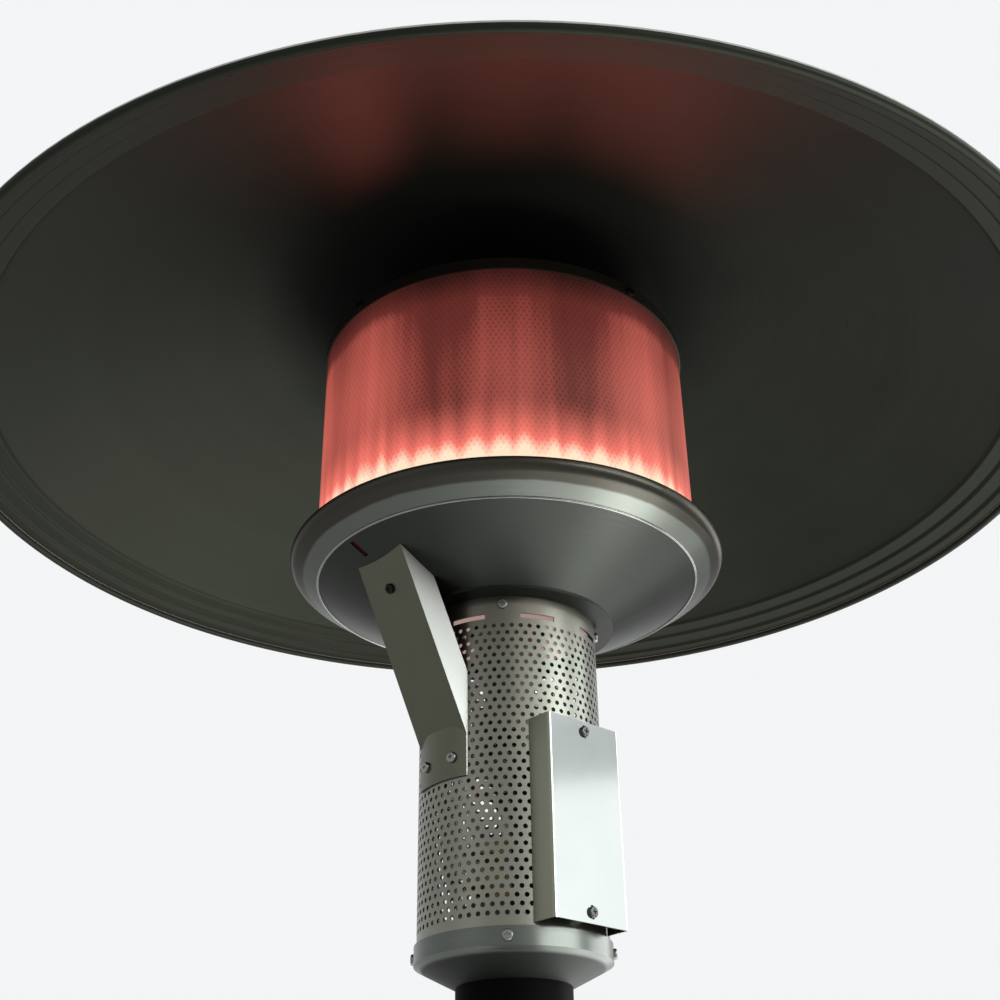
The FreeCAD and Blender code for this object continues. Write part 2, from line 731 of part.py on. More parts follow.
def leaning(shape):
    """Lean a shape made along +Z as the channel leans, with its outer face through the foot point."""
    placed = shape.copy()
    placed.rotate(ORIGIN, V(0, 1, 0), CHANNEL_LEAN)
    placed.translate(V(housing_r, 0, foot_z))
    return placed


def line_point(run, side=0.0):
    """A point on a line inside the channel, at a run up the lean from the foot."""
    x = housing_r - LINE_DEPTH * math.cos(lean) + run * math.sin(lean)
    z = foot_z + LINE_DEPTH * math.sin(lean) + run * math.cos(lean)
    return V(x, side, z)


def channel_length():
    return (rim_z - foot_z) / math.cos(lean)


def pilot_opening():
    """Cutter for the pan's opening inside the channel's upper end."""
    half = CHANNEL_WIDTH / 2 - 2 * CHANNEL_SHEET
    deep = LINE_DEPTH + PILOT_HOOD_RADIUS + SLIP
    shallow = LINE_DEPTH - PILOT_HOOD_RADIUS - SLIP
    return leaning(block(-deep, -shallow, -half, half, 0, channel_length()))


def channel_screw_azimuths():
    turn = math.degrees(math.asin(CHANNEL_SCREW_SPREAD / HOUSING_OD))
    return (CHANNEL_AZIMUTH - turn, CHANNEL_AZIMUTH + turn)


def channel_screw_z():
    return foot_z - CHANNEL_SCREW_DROP


def pan_run(depth):
    """Run up the lean at which a line this deep behind the channel's outer face meets the pan."""
    level = pan_z - foot_z - depth * math.sin(lean)
    level += cone_slope * (housing_r - depth * math.cos(lean) - COLLAR_RADIUS)
    return level / (math.cos(lean) - cone_slope * math.sin(lean))


def bracket_run():
    return pan_run(CHANNEL_SHEET + BRACKET_DEPTH) - BRACKET_DROP - BRACKET_SHEET


def bracket_screw_run():
    return bracket_run() + BRACKET_TAB_HEIGHT / 2 + BRACKET_SHEET


def pilot_channel():
    half = CHANNEL_WIDTH / 2
    length = channel_length()
    channel = block(-CHANNEL_DEPTH, 0, -half, half, -CHANNEL_WIDTH, length)
    hollow = block(
        -CHANNEL_DEPTH - PAST, -CHANNEL_SHEET,
        -half + CHANNEL_SHEET, half - CHANNEL_SHEET,
        -CHANNEL_WIDTH - PAST, length + PAST,
    )
    channel = leaning(channel.cut(hollow))
    inside = housing_r + SLIP
    top = rim_z + CHANNEL_DEPTH
    above_pan = turned(
        (0, pan_z - SLIP),
        (COLLAR_RADIUS + SLIP, pan_z - SLIP),
        (PAN_CONE_RADIUS, pan_cone_z - SLIP),
        (PAN_RIM_RADIUS, top),
        (0, top),
    )
    tab_z = foot_z - CHANNEL_TAB_HEIGHT
    tab = tube(inside + CHANNEL_SHEET, inside, CHANNEL_TAB_HEIGHT, V(0, 0, tab_z))
    tab = tab.common(block(0, HOUSING_OD, -half, half, tab_z, foot_z))
    keep_out = rod(inside, HOUSING_LENGTH, V(0, 0, housing_z))
    channel = channel.cut([above_pan, keep_out]).fuse(tab).removeSplitter()
    channel = channel.cut(leaning(screw_hole(0, 0, bracket_screw_run())))
    foot_hole = screw_hole(inside, 0, channel_screw_z())
    return facing(channel, CHANNEL_AZIMUTH).cut([facing(foot_hole, a) for a in channel_screw_azimuths()])


def channel_screws():
    foot_screw = pan_head(housing_r + SLIP + CHANNEL_SHEET, 0, channel_screw_z())
    screws = [facing(foot_screw, azimuth) for azimuth in channel_screw_azimuths()]
    grip = CHANNEL_SHEET + BRACKET_SHEET + SLIP
    upper = leaning(pan_head(0, 0, bracket_screw_run(), grip))
    return group(screws + [facing(upper, CHANNEL_AZIMUTH)])


def pilot_bracket():
    half = CHANNEL_WIDTH / 2 - CHANNEL_SHEET - SLIP
    back = -CHANNEL_SHEET - BRACKET_DEPTH
    top = bracket_run() + BRACKET_SHEET
    plate = block(back, -CHANNEL_SHEET, -half, half, bracket_run(), top)
    tab_half = BRACKET_TAB_WIDTH / 2
    tab_back = -CHANNEL_SHEET - BRACKET_SHEET
    tab = block(tab_back, -CHANNEL_SHEET, -tab_half, tab_half, top, top + BRACKET_TAB_HEIGHT)
    bracket = plate.fuse(tab).removeSplitter()
    held = (
        (0.0, PILOT_RADIUS),
        (THERMOCOUPLE_SIDE, THERMOCOUPLE_TIP_RADIUS),
        (ELECTRODE_SIDE, ELECTRODE_RADIUS),
    )
    cutters = [screw_hole(0, 0, bracket_screw_run())]
    low = bracket_run() - BRACKET_DEPTH / 2
    for side, radius in held:
        cutters.append(rod(radius + RUN, BRACKET_DEPTH, V(-LINE_DEPTH, side, low)))
    return facing(leaning(bracket.cut(cutters)), CHANNEL_AZIMUTH)


def held_line(side, *pieces):
    """Rods of (radius, from, to) about the bracket, joined on one leaning line."""
    rods = []
    for radius, low, high in pieces:
        rods.append(rod(radius, high - low, V(-LINE_DEPTH, side, bracket_run() + low)))
    shape = rods[0].fuse(rods[1:]).removeSplitter() if len(rods) > 1 else rods[0]
    return leaning(shape)


def pilot_burner():
    hood = PILOT_ABOVE - PILOT_HOOD_LENGTH
    body = held_line(0.0, (PILOT_RADIUS, -PILOT_BELOW, hood), (PILOT_HOOD_RADIUS, hood, PILOT_ABOVE))
    half = PILOT_HOOD_SLOT / 2
    low = bracket_run() + hood + half
    slot = block(-CHANNEL_DEPTH, 0, -half, half, low, bracket_run() + PILOT_ABOVE - half)
    return facing(body.cut(leaning(slot)), CHANNEL_AZIMUTH)


def bend(before, corner, after, radius):
    """Tangent arc at a corner of a line: its first, middle and last point."""
    a = (before - corner).normalize()
    b = (after - corner).normalize()
    half = a.getAngle(b) / 2
    middle = (a + b).normalize()
    reach = radius / math.tan(half)
    centre = corner + middle * (radius / math.sin(half))
    return corner + a * reach, centre - middle * radius, corner + b * reach


def swept(radius, points, bends):
    """Round line through straight runs joined by tangent arcs, one radius for each corner."""
    edges = []
    here = points[0]
    for i, bend_radius in enumerate(bends, 1):
        first, middle, last = bend(points[i - 1], points[i], points[i + 1], bend_radius)
        edges.append(Part.LineSegment(here, first).toShape())
        edges.append(Part.Arc(first, middle, last).toShape())
        here = last
    edges.append(Part.LineSegment(here, points[-1]).toShape())
    spine = Part.Wire(edges)
    circle = Part.Wire(Part.makeCircle(radius, points[0], points[1] - points[0]))
    line = spine.makePipeShell([circle], True, False)
    length = sum(edge.Length for edge in edges)
    print("line of", round(length, 1), "mm, volume over section times length",
          round(line.Volume / (math.pi * radius ** 2 * length), 4), "bends", bends)
    return line


def line_to(side, radius, top_run, reach, z):
    """A line from inside the channel, down in the housing and across to a fitting."""
    knee_run = (line_reach - line_point(0).x) / math.sin(lean)
    points = [line_point(top_run, side), line_point(knee_run, side)]
    points += [V(line_reach, side, z), V(reach, side, z)]
    return swept(radius, points, [LINE_KNEE_BEND, LINE_BEND])


def pilot_z():
    return valve_z + PILOT_PORT_RISE


def thermocouple_z():
    return valve_z - THERMOCOUPLE_PORT_DROP


def pilot_tube():
    line = line_to(0.0, PILOT_TUBE_RADIUS, bracket_run() - PILOT_BELOW, VALVE_WIDTH / 2, pilot_z())
    return facing(line, CHANNEL_AZIMUTH)


def thermocouple():
    below = bracket_run() - PILOT_BELOW
    lead = line_to(THERMOCOUPLE_SIDE, THERMOCOUPLE_LEAD_RADIUS, below, VALVE_WIDTH / 2, thermocouple_z())
    tip = held_line(THERMOCOUPLE_SIDE, (THERMOCOUPLE_TIP_RADIUS, -PILOT_BELOW, THERMOCOUPLE_ABOVE))
    return facing(lead.fuse(tip), CHANNEL_AZIMUTH)


def spark_electrode():
    tip = ELECTRODE_ABOVE + ELECTRODE_WIRE_LENGTH
    ceramic = (ELECTRODE_RADIUS, -PILOT_BELOW, ELECTRODE_ABOVE)
    wire = (ELECTRODE_WIRE_RADIUS, ELECTRODE_ABOVE, tip)
    return facing(held_line(ELECTRODE_SIDE, ceramic, wire), CHANNEL_AZIMUTH)


def ignition_lead():
    reach = -IGNITER_SIDE + IGNITER_RADIUS
    lead = line_to(ELECTRODE_SIDE, LEAD_RADIUS, bracket_run() - PILOT_BELOW, reach, igniter_z)
    return facing(lead, CHANNEL_AZIMUTH)


def line_nuts():
    nuts = []
    lines = (
        (0.0, PILOT_TUBE_RADIUS, pilot_z()),
        (THERMOCOUPLE_SIDE, THERMOCOUPLE_LEAD_RADIUS, thermocouple_z()),
    )
    for side, radius, z in lines:
        base = V(VALVE_WIDTH / 2, side, z)
        nut = hexagon(LINE_NUT_RADIUS, LINE_NUT_LENGTH, base, OUT)
        nuts.append(nut.cut(rod(radius + RUN, LINE_NUT_LENGTH + 2 * PAST, base - OUT * PAST, OUT)))
    return group([facing(nut, CHANNEL_AZIMUTH) for nut in nuts])


def stem_z():
    return valve_z - STEM_DROP


def control_plate():
    half = math.sqrt(housing_in ** 2 - plate_reach ** 2) - SLIP
    plate = block(valve_front, plate_reach, -half, half, plate_z, plate_top)
    holes = (
        (STEM_SIDE, stem_z(), STEM_RADIUS + SEAT),
        (RESET_SIDE, valve_z, RESET_STEM_RADIUS + SEAT),
        (IGNITER_SIDE, igniter_z, IGNITER_NECK_RADIUS + SLIP),
    )
    cutters = [rod(r, plate_reach, V(valve_front / 2, y, z), OUT) for y, z, r in holes]
    return facing(plate.cut(cutters), CONTROL_AZIMUTH)


def gas_valve():
    half = VALVE_WIDTH / 2
    body = block(-VALVE_BACK, valve_front, -half, half, valve_bottom, valve_top)
    upright = [e for e in body.Edges if abs(e.Vertexes[0].Z - e.Vertexes[1].Z) > VALVE_EDGE]
    body = body.makeFillet(VALVE_EDGE, upright)
    deep = STEM_DEPTH + SEAT
    stem = rod(STEM_RADIUS + RUN, deep, V(valve_front - deep, STEM_SIDE, stem_z()), OUT)
    deep = RESET_DEPTH + RESET_TRAVEL + SEAT
    reset = rod(RESET_STEM_RADIUS + RUN, deep, V(valve_front - deep, RESET_SIDE, valve_z), OUT)
    return facing(body.cut([stem, reset]), CONTROL_AZIMUTH)


def knob_x():
    return cover_inside - CONTROL_CLEARANCE - KNOB_GRIP_HEIGHT - KNOB_HEIGHT / 2


def valve_stem():
    base = valve_front - STEM_DEPTH
    stem = rod(STEM_RADIUS, knob_x() + KNOB_HEIGHT / 2 - base, V(base, STEM_SIDE, stem_z()), OUT)
    return facing(stem, CONTROL_AZIMUTH)


def control_knob():
    x = knob_x() - KNOB_HEIGHT / 2
    centre = V(x, STEM_SIDE, stem_z())
    skirt = rod(KNOB_RADIUS, KNOB_HEIGHT + KNOB_GRIP_HEIGHT, centre, OUT)
    front = x + KNOB_HEIGHT + KNOB_GRIP_HEIGHT
    half = KNOB_GRIP_WIDTH / 2
    far = 2 * KNOB_RADIUS
    low, high = stem_z() - far, stem_z() + far
    sides = []
    for y0, y1 in ((STEM_SIDE - far, STEM_SIDE - half), (STEM_SIDE + half, STEM_SIDE + far)):
        sides.append(block(x + KNOB_HEIGHT, front + PAST, y0, y1, low, high))
    bore = rod(STEM_RADIUS, KNOB_HEIGHT, centre, OUT)
    return facing(skirt.cut(sides + [bore]), CONTROL_AZIMUTH)


def reset_button():
    base = valve_front - RESET_DEPTH
    cap_x = cover_inside - CONTROL_CLEARANCE - RESET_HEIGHT
    stem = rod(RESET_STEM_RADIUS, cap_x - base, V(base, RESET_SIDE, valve_z), OUT)
    cap = rod(RESET_RADIUS, RESET_HEIGHT, V(cap_x, RESET_SIDE, valve_z), OUT)
    return facing(stem.fuse(cap).removeSplitter(), CONTROL_AZIMUTH)


def igniter_neck_end():
    return valve_front + IGNITER_NECK_LENGTH


def igniter_body():
    base = V(valve_front - IGNITER_LENGTH, IGNITER_SIDE, igniter_z)
    barrel = rod(IGNITER_RADIUS, IGNITER_LENGTH, base, OUT)
    neck = rod(IGNITER_NECK_RADIUS, IGNITER_NECK_LENGTH, V(valve_front, IGNITER_SIDE, igniter_z), OUT)
    deep = IGNITER_BUTTON_DEPTH + IGNITER_TRAVEL + SEAT
    bore = V(igniter_neck_end() - deep, IGNITER_SIDE, igniter_z)
    body = barrel.fuse(neck).removeSplitter()
    return facing(body.cut(rod(IGNITER_BUTTON_RADIUS + RUN, deep + PAST, bore, OUT)), CONTROL_AZIMUTH)


def igniter_nut():
    base = V(plate_reach, IGNITER_SIDE, igniter_z)
    nut = hexagon(IGNITER_NUT_RADIUS, IGNITER_NUT_HEIGHT, base, OUT)
    bore = rod(IGNITER_NECK_RADIUS + RUN, IGNITER_NUT_HEIGHT + 2 * PAST, base - OUT * PAST, OUT)
    return facing(nut.cut(bore), CONTROL_AZIMUTH)


def igniter_button():
    base = igniter_neck_end() - IGNITER_BUTTON_DEPTH
    cap_x = igniter_neck_end() + IGNITER_TRAVEL + SEAT
    shaft = rod(IGNITER_BUTTON_RADIUS, cap_x - base, V(base, IGNITER_SIDE, igniter_z), OUT)
    cap = rod(IGNITER_CAP_RADIUS, IGNITER_CAP_HEIGHT, V(cap_x, IGNITER_SIDE, igniter_z), OUT)
    return facing(shaft.fuse(cap).removeSplitter(), CONTROL_AZIMUTH)


def cover_screw_heights():
    return (cover_z + COVER_SCREW_INSET, cover_top - COVER_SCREW_INSET)


def cover_standoffs():
    posts = []
    for z in cover_screw_heights():
        base = V(housing_r, 0, z)
        post = hexagon(STANDOFF_RADIUS, cover_inside - housing_r - REST, base, OUT)
        posts.append(post.cut(rod(SCREW_RADIUS + RUN, cover_reach, base, OUT)))
    return group([facing(post, CONTROL_AZIMUTH) for post in posts])


def control_cover():
    half = COVER_WIDTH / 2
    outside = block(0, cover_reach, -half, half, cover_z, cover_top)
    edges = [edge for edge in outside.Edges if edge.BoundBox.XMin > cover_reach / 2]
    upright = [edge for edge in edges if edge.BoundBox.ZLength > COVER_BEND]
    outside = outside.makeFillet(COVER_BEND, upright)
    inner = half - COVER_SHEET
    hollow = block(-PAST, cover_inside, -inner, inner, cover_z - PAST, cover_top - COVER_SHEET)
    keep_out = rod(housing_r + COVER_GAP, HOUSING_LENGTH, V(0, 0, housing_z))
    slots = []
    for z in cover_screw_heights():
        reach = (COVER_SLOT_LENGTH - COVER_SLOT_WIDTH) / 2
        wide = COVER_SLOT_WIDTH / 2
        slots.append(block(cover_inside - PAST, cover_reach + PAST, -wide, wide, z - reach, z + reach))
        for end in (z - reach, z + reach):
            slots.append(rod(wide, cover_reach, V(cover_inside - PAST, 0, end), OUT))
    behind = block(-HOUSING_OD, 0, -HOUSING_OD, HOUSING_OD, cover_z - PAST, cover_top + PAST)
    return facing(outside.cut([hollow, keep_out, behind] + slots), CONTROL_AZIMUTH)


def cover_screws():
    screws = [pan_head(cover_reach, 0, z, COVER_SCREW_LENGTH) for z in cover_screw_heights()]
    return group([facing(screw, CONTROL_AZIMUTH) for screw in screws])


def inlet_nut_z():
    return valve_bottom - INLET_NUT_HEIGHT


def supply_pipe():
    low = COUPLING_Z + COUPLING_BORE_DEPTH
    return tube(PIPE_RADIUS, PIPE_RADIUS - PIPE_WALL, valve_bottom - low, V(0, 0, low))


def inlet_nut():
    base = V(0, 0, inlet_nut_z())
    nut = hexagon(INLET_NUT_RADIUS, INLET_NUT_HEIGHT, base)
    return nut.cut(rod(PIPE_RADIUS + RUN, INLET_NUT_HEIGHT + 2 * PAST, base - UP * PAST))


def inlet_coupling():
    body = hexagon(COUPLING_RADIUS, COUPLING_HEIGHT, V(0, 0, COUPLING_Z))
    thread = rod(COUPLING_BORE_RADIUS, COUPLING_BORE_DEPTH + PAST, V(0, 0, COUPLING_Z - PAST))
    pipe = rod(PIPE_RADIUS + RUN, COUPLING_HEIGHT, V(0, 0, COUPLING_Z + COUPLING_BORE_DEPTH))
    return body.cut([thread, pipe])


def orifice_z():
    return tube_mouth + TUBE_LIP - ORIFICE_HEX_HEIGHT


def burner_riser():
    return tube(RISER_RADIUS, RISER_RADIUS - RISER_WALL, orifice_z() - valve_top, V(0, 0, valve_top))


def main_orifice():
    z = orifice_z()
    nut = hexagon(ORIFICE_HEX_RADIUS, ORIFICE_HEX_HEIGHT, V(0, 0, z))
    tip = rod(ORIFICE_TIP_RADIUS, ORIFICE_TIP_LENGTH, V(0, 0, z + ORIFICE_HEX_HEIGHT))
    hole = rod(ORIFICE_HOLE_RADIUS, ORIFICE_HEX_HEIGHT + ORIFICE_TIP_LENGTH + 2 * PAST, V(0, 0, z - PAST))
    return nut.fuse(tip).removeSplitter().cut(hole)


PIECES = {
    "post_tube": post_tube,
    "post_bolts": post_bolts,
    "base_cup": base_cup,
    "housing_shell": housing_shell,
    "housing_screws_lower": lambda: housing_screws(band_out, lower_screw_z()),
    "housing_screws_upper": lambda: housing_screws(housing_r, upper_screw_z()),
    "neck_collar": neck_collar,
    "burner_pan": burner_pan,
    "pan_bolts": pan_bolts,
    "pan_nuts": pan_nuts,
    "burner_tube": burner_tube,
    "air_shutter": air_shutter,
    "burner_head": burner_head,
    "burner_lid": burner_lid,
    "screen_ring": screen_ring,
    "screen_screws": screen_screws,
    "emitter_screen": emitter_screen,
    "screen_cap": screen_cap,
    "cap_screws": cap_screws,
    "reflector": reflector,
    "reflector_studs": reflector_studs,
    "reflector_spacers": reflector_spacers,
    "reflector_washers": reflector_washers,
    "reflector_wing_nuts": reflector_wing_nuts,
    "pilot_channel": pilot_channel,
    "channel_screws": channel_screws,
    "pilot_bracket": pilot_bracket,
    "pilot_burner": pilot_burner,
    "pilot_tube": pilot_tube,
    "thermocouple": thermocouple,
    "spark_electrode": spark_electrode,
    "ignition_lead": ignition_lead,
    "line_nuts": line_nuts,
    "control_plate": control_plate,
    "gas_valve": gas_valve,
    "valve_stem": valve_stem,
    "control_knob": control_knob,
    "reset_button": reset_button,
    "igniter_body": igniter_body,
    "igniter_nut": igniter_nut,
    "igniter_button": igniter_button,
    "cover_standoffs": cover_standoffs,
    "control_cover": control_cover,
    "cover_screws": cover_screws,
    "supply_pipe": supply_pipe,
    "inlet_nut": inlet_nut,
    "inlet_coupling": inlet_coupling,
    "burner_riser": burner_riser,
    "main_orifice": main_orifice,
}

os.makedirs("parts", exist_ok=True)
for name, make in PIECES.items():
    shape = make()
    if not shape.isValid():
        raise ValueError(name + " is not a valid solid")
    shape.exportStep("parts/" + name + ".step")
    print(name, len(shape.Solids), "solids,", round(shape.Volume / 1000, 2), "cm3")
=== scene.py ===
"""Looks of a post-mounted patio heater head, laid out as a Blender add-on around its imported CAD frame."""

import math

import bmesh
import bpy
from bpy.props import FloatProperty, FloatVectorProperty, IntProperty, PointerProperty
from mathutils import Matrix, Vector


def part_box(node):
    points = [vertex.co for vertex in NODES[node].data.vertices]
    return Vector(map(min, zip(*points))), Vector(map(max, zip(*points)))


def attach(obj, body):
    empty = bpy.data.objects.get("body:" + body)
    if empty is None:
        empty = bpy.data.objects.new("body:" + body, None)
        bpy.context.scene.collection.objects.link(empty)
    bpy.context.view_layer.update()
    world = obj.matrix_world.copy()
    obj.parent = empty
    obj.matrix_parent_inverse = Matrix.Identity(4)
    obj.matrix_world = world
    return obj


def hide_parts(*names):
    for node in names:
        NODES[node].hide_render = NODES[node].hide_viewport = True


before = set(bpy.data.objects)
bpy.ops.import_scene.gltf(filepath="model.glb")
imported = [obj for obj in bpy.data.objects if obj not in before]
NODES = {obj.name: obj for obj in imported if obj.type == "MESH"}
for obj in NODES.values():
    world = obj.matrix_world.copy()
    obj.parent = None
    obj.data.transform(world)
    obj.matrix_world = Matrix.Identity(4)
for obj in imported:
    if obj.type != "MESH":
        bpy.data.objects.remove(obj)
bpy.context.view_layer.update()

bl_info = {
    "name": "Patio Heater Head",
    "version": (1, 0, 0),
    "blender": (4, 5, 0),
    "location": "View3D > Sidebar > Heater",
    "description": "Dresses the packed frame of a patio heater head and lights it",
    "category": "Object",
}

HOUSING_LOW, HOUSING_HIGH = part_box("housing_shell")
SCREEN_LOW, SCREEN_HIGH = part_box("emitter_screen")
PLATE_LOW, PLATE_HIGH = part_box("control_plate")
REFLECTOR_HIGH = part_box("reflector")[1]

CONTROL_AZIMUTH = math.radians(45)
CHANNEL_AZIMUTH = math.radians(-45)
VENT_COUNT = 8
MERGE = 1e-5
OPENING_MARGIN = 0.01 + 2 * MERGE
DOME_STEPS = 30
HEM_SIDES = 14
BEAD_SIDES = 10
BEAD_SEGMENTS = 160

# Where a finish changes over: start and end of each change, in metres.
CUP_BAND_FOOT = (0.1005, 0.1025)
COLLAR_SPIGOT = (0.0600, 0.0605)
PAN_BAND_START = (0.1395, 0.1405)
PAN_RIM_START = (0.1514, 0.1536)
MIDDLE_DARK_FADE = (0.125, 0.215)
HOUSING_HEAT = (0.315, 0.352)
CHANNEL_DARK_SPAN = (0.28, 0.32)

# The screen's holes: how many round the axis, their pitch upwards and the turn of the pattern.
SCREEN_HOLES = 223
SCREEN_PITCH = 0.00693
SCREEN_TURN = math.radians(4.5)
SCREEN_SKIN = 0.0006
# The flames: where they show above the pan, how far heat is measured up from there, and their count.
FLAME_FOOT = 0.402
FLAME_REACH = 0.164
FLAME_TONGUES = 50
HOT_SPACING = math.radians(60)

FLOOR_RADIUS = 40.0
FLOOR_SIDES = 96
BLACK = (0.0, 0.0, 0.0)
WHITE = (1.0, 1.0, 1.0)
COVER_CENTRE = Vector((0.052, -0.052, 0.184))
# Lamps aimed at the cover: name, width, height, azimuth and lift in degrees, and distance.
LAMPS = (
    ("key", 0.90, 0.50, 88, 33.0, 1.75),
    ("front", 1.20, 0.50, 30, 22.0, 1.70),
    ("near", 0.75, 0.50, 66, 24.0, 1.75),
    ("far", 0.50, 0.45, 109, 22.0, 1.70),
    ("side", 1.35, 0.504, 100, 10.5, 1.6),
    ("edge", 1.20, 0.50, 122, 8.0, 1.6),
    ("strip", 1.49, 0.260, 57, 9.0, 1.6),
    ("under", 0.60, 0.60, 104, -49.0, 1.5),
    ("low", 1.30, 0.90, 154, -33.0, 1.6),
    ("bounce", 1.30, 1.30, 140, -69.0, 1.4),
    ("fill", 1.20, 1.20, -48, 14.0, 2.3),
)
COOL_LAMPS = ("key", "near", "far")
# Azimuths of the lights that the screen throws outwards, in degrees, and their shares of the strongest.
GLOW_SHARES = (
    (-30, 1.0), (-14, 0.03), (2, 0.31), (18, 0.18), (34, 0.60), (50, 0.85), (100, 0.5), (180, 0.5), (260, 0.5)
)
GLOW_LIFT = 0.04
GLOW_STAND_OFF = 0.004
GLOW_WIDTH = 0.05
GLOW_HEIGHT = 0.13
GLOW_SPREAD = math.radians(110)
GLOW_COLOUR = (1.0, 0.20, 0.16)


def size(name, description, default):
    return FloatProperty(name=name, description=description, default=default, unit="LENGTH", precision=4)


def angle(name, description, degrees):
    return FloatProperty(
        name=name, description=description, default=math.radians(degrees), subtype="ANGLE"
    )


def power(name, description, default):
    return FloatProperty(name=name, description=description, default=default, unit="POWER")


def colour(name, description, default):
    return FloatVectorProperty(
        name=name, description=description, default=default, subtype="COLOR", size=3, min=0, max=1
    )


class HousingSizes(bpy.types.PropertyGroup):
    """Sizes of the perforated housing."""

    columns: IntProperty(name="Holes round", description="Holes in one row round the housing", default=64)
    rows: IntProperty(name="Rows", description="Rows of holes up the housing", default=37)
    hole_sides: IntProperty(name="Hole sides", description="Flats of one hole's edge", default=12)
    radius: size("Radius", "Outer radius of the sheet", HOUSING_HIGH.x)
    low: size("Lower edge", "Height of the sheet's lower edge", HOUSING_LOW.z)
    high: size("Upper edge", "Height of the sheet's upper edge", HOUSING_HIGH.z)
    wall: size("Sheet", "Thickness of the sheet", 0.001)
    hole: size("Hole radius", "Radius of one hole", 0.0016)
    plain: size("Lower band", "Plain height below the holes", 0.0166)
    vent_drop: size("Vent drop", "From the upper edge down to the middle of the vents", 0.0145)
    vent_height: size("Vent height", "Height of one vent slot", 0.0036)
    window_width: size("Window width", "Width of the opening over the controls", 0.048)
    slot_width: size("Line slot width", "Width of the slot that the pilot lines leave through", 0.043)
    slot_low: size("Line slot foot", "Lower edge of the slot for the pilot lines", 0.250)
    slot_high: size("Line slot head", "Upper edge of the slot for the pilot lines", 0.282)


class ReflectorSizes(bpy.types.PropertyGroup):
    """Sizes of the spun reflector."""

    segments: IntProperty(name="Segments", description="Flats round the reflector", default=192)
    radius: size("Radius", "Outer radius of the rolled rim", REFLECTOR_HIGH.x)
    high: size("Crown height", "Height of the crown's upper face", REFLECTOR_HIGH.z)
    sheet: size("Sheet", "Thickness of the sheet", 0.0012)
    crown: size("Crown", "Radius of the flat crown", 0.128)
    crown_blend: size("Crown blend", "Width of the flat that blends into the dome", 0.016)
    dome_drop: size("Dome drop", "Depth of the dome from the crown to the brim", 0.122)
    dome_bulge: size("Dome bulge", "How far the dome stands off a straight cone", 0.014)
    brim: size("Brim", "Width of the stepped brim", 0.0365)
    steps: IntProperty(name="Steps", description="Pressed steps of the brim", default=3)
    step_run: size("Step run", "Width of one step's riser", 0.002)
    step_drop: size("Step drop", "Depth of one step's riser", 0.003)
    tread_drop: size("Tread drop", "Depth that one tread loses", 0.003)
    step_round: size("Step rounding", "Width of the rounding along a step", 0.0007)
    hem: size("Hem radius", "Radius of the rolled rim", 0.0035)


class PanSizes(bpy.types.PropertyGroup):
    """Sizes of the burner pan's edge."""

    cone: size("Cone radius", "Radius of the pan's cone at its edge", 0.140)
    cone_height: size("Cone height", "Height of that edge", 0.3749)
    bead: size("Bead radius", "Radius of the bead along that edge", 0.001)


class FinishColours(bpy.types.PropertyGroup):
    """Colours of the heater's finishes."""

    sheet: colour("Perforated sheet", "Mill-finished sheet of the housing", (0.168, 0.170, 0.143))
    channel: colour("Channel steel", "Satin sheet of the pilot channel", (0.084, 0.087, 0.064))
    # Painted light: the channel's flanks take this lighter colour.
    flank: colour("Channel flanks", "Bright sides of the pilot channel", (0.365, 0.365, 0.342))
    cover: colour("Cover steel", "Polished sheet of the control cover", (0.455, 0.49, 0.475))
    # Painted shade: the cover's bent sides take this darker colour where they turn away from the light.
    cover_painted_shade: colour("Cover sides", "Dull bent sides of the control cover", (0.184, 0.188, 0.146))
    pan: colour("Pan steel", "Pressed sheet of the burner pan", (0.0268, 0.0289, 0.0255))
    # Painted shade: the pan's rim takes this darker colour.
    rim: colour("Pan rim", "Rim of the pan, darkened by heat", (0.036, 0.034, 0.028))
    bead: colour("Pan bead", "Polished bead along the pan's cone", (0.195, 0.195, 0.180))
    cup: colour("Cup steel", "Pressed sheet of the base cup", (0.085, 0.094, 0.084))
    plate: colour("Inner plates", "Sheet behind the control cover", (0.34, 0.34, 0.32))
    # Painted shade: the reflector's underside is this darker copy of the same aluminium.
    under: colour("Reflector underside", "Spun aluminium dulled by heat", (0.0170, 0.0186, 0.0138))
    top: colour("Reflector top", "Spun aluminium, weathered", (0.36, 0.36, 0.352))
    # A dark colour for the reflector's middle and the channel's upper screw, and painted shade in the
    # screen's painted holes.
    soot_and_shade: colour("Soot", "Burnt middle of the reflector", (0.013, 0.0135, 0.0120))
    ember: colour("Ember", "Coolest part of the glowing screen", (0.022, 0.004, 0.0035))
    dull_red: colour("Dull red", "Screen between the flames", (0.135, 0.023, 0.019))
    salmon: colour("Salmon", "Screen at full heat", (0.53, 0.108, 0.083))
    flame: colour("Flame", "Tongues of flame at the foot of the screen", (1.0, 0.80, 0.58))
    # Painted glow: the collar's underside shows the burner's light in this colour.
    neck: colour("Neck glow", "Burner's light on the collar, seen through the vents", (0.37, 0.25, 0.222))
    zinc: colour("Zinc plate", "Screws, nuts and studs", (0.52, 0.52, 0.49))
    brass: colour("Brass", "Valve body and gas fittings", (0.36, 0.25, 0.105))
    pipe: colour("Gas pipe", "Drawn aluminium tube", (0.55, 0.55, 0.54))
    burnt: colour("Burnt steel", "Burner parts coloured by heat", (0.17, 0.135, 0.105))
    post: colour("Post paint", "Black powder coat", (0.0015, 0.0015, 0.0016))
    knob: colour("Control plastic", "Moulded black plastic", (0.013, 0.013, 0.014))
    reset: colour("Reset plastic", "Moulded red plastic", (0.36, 0.020, 0.014))
    ceramic: colour("Ceramic", "Insulator of the spark electrode", (0.74, 0.70, 0.62))
    rubber: colour("Lead rubber", "Sleeve of the ignition lead", (0.33, 0.055, 0.030))


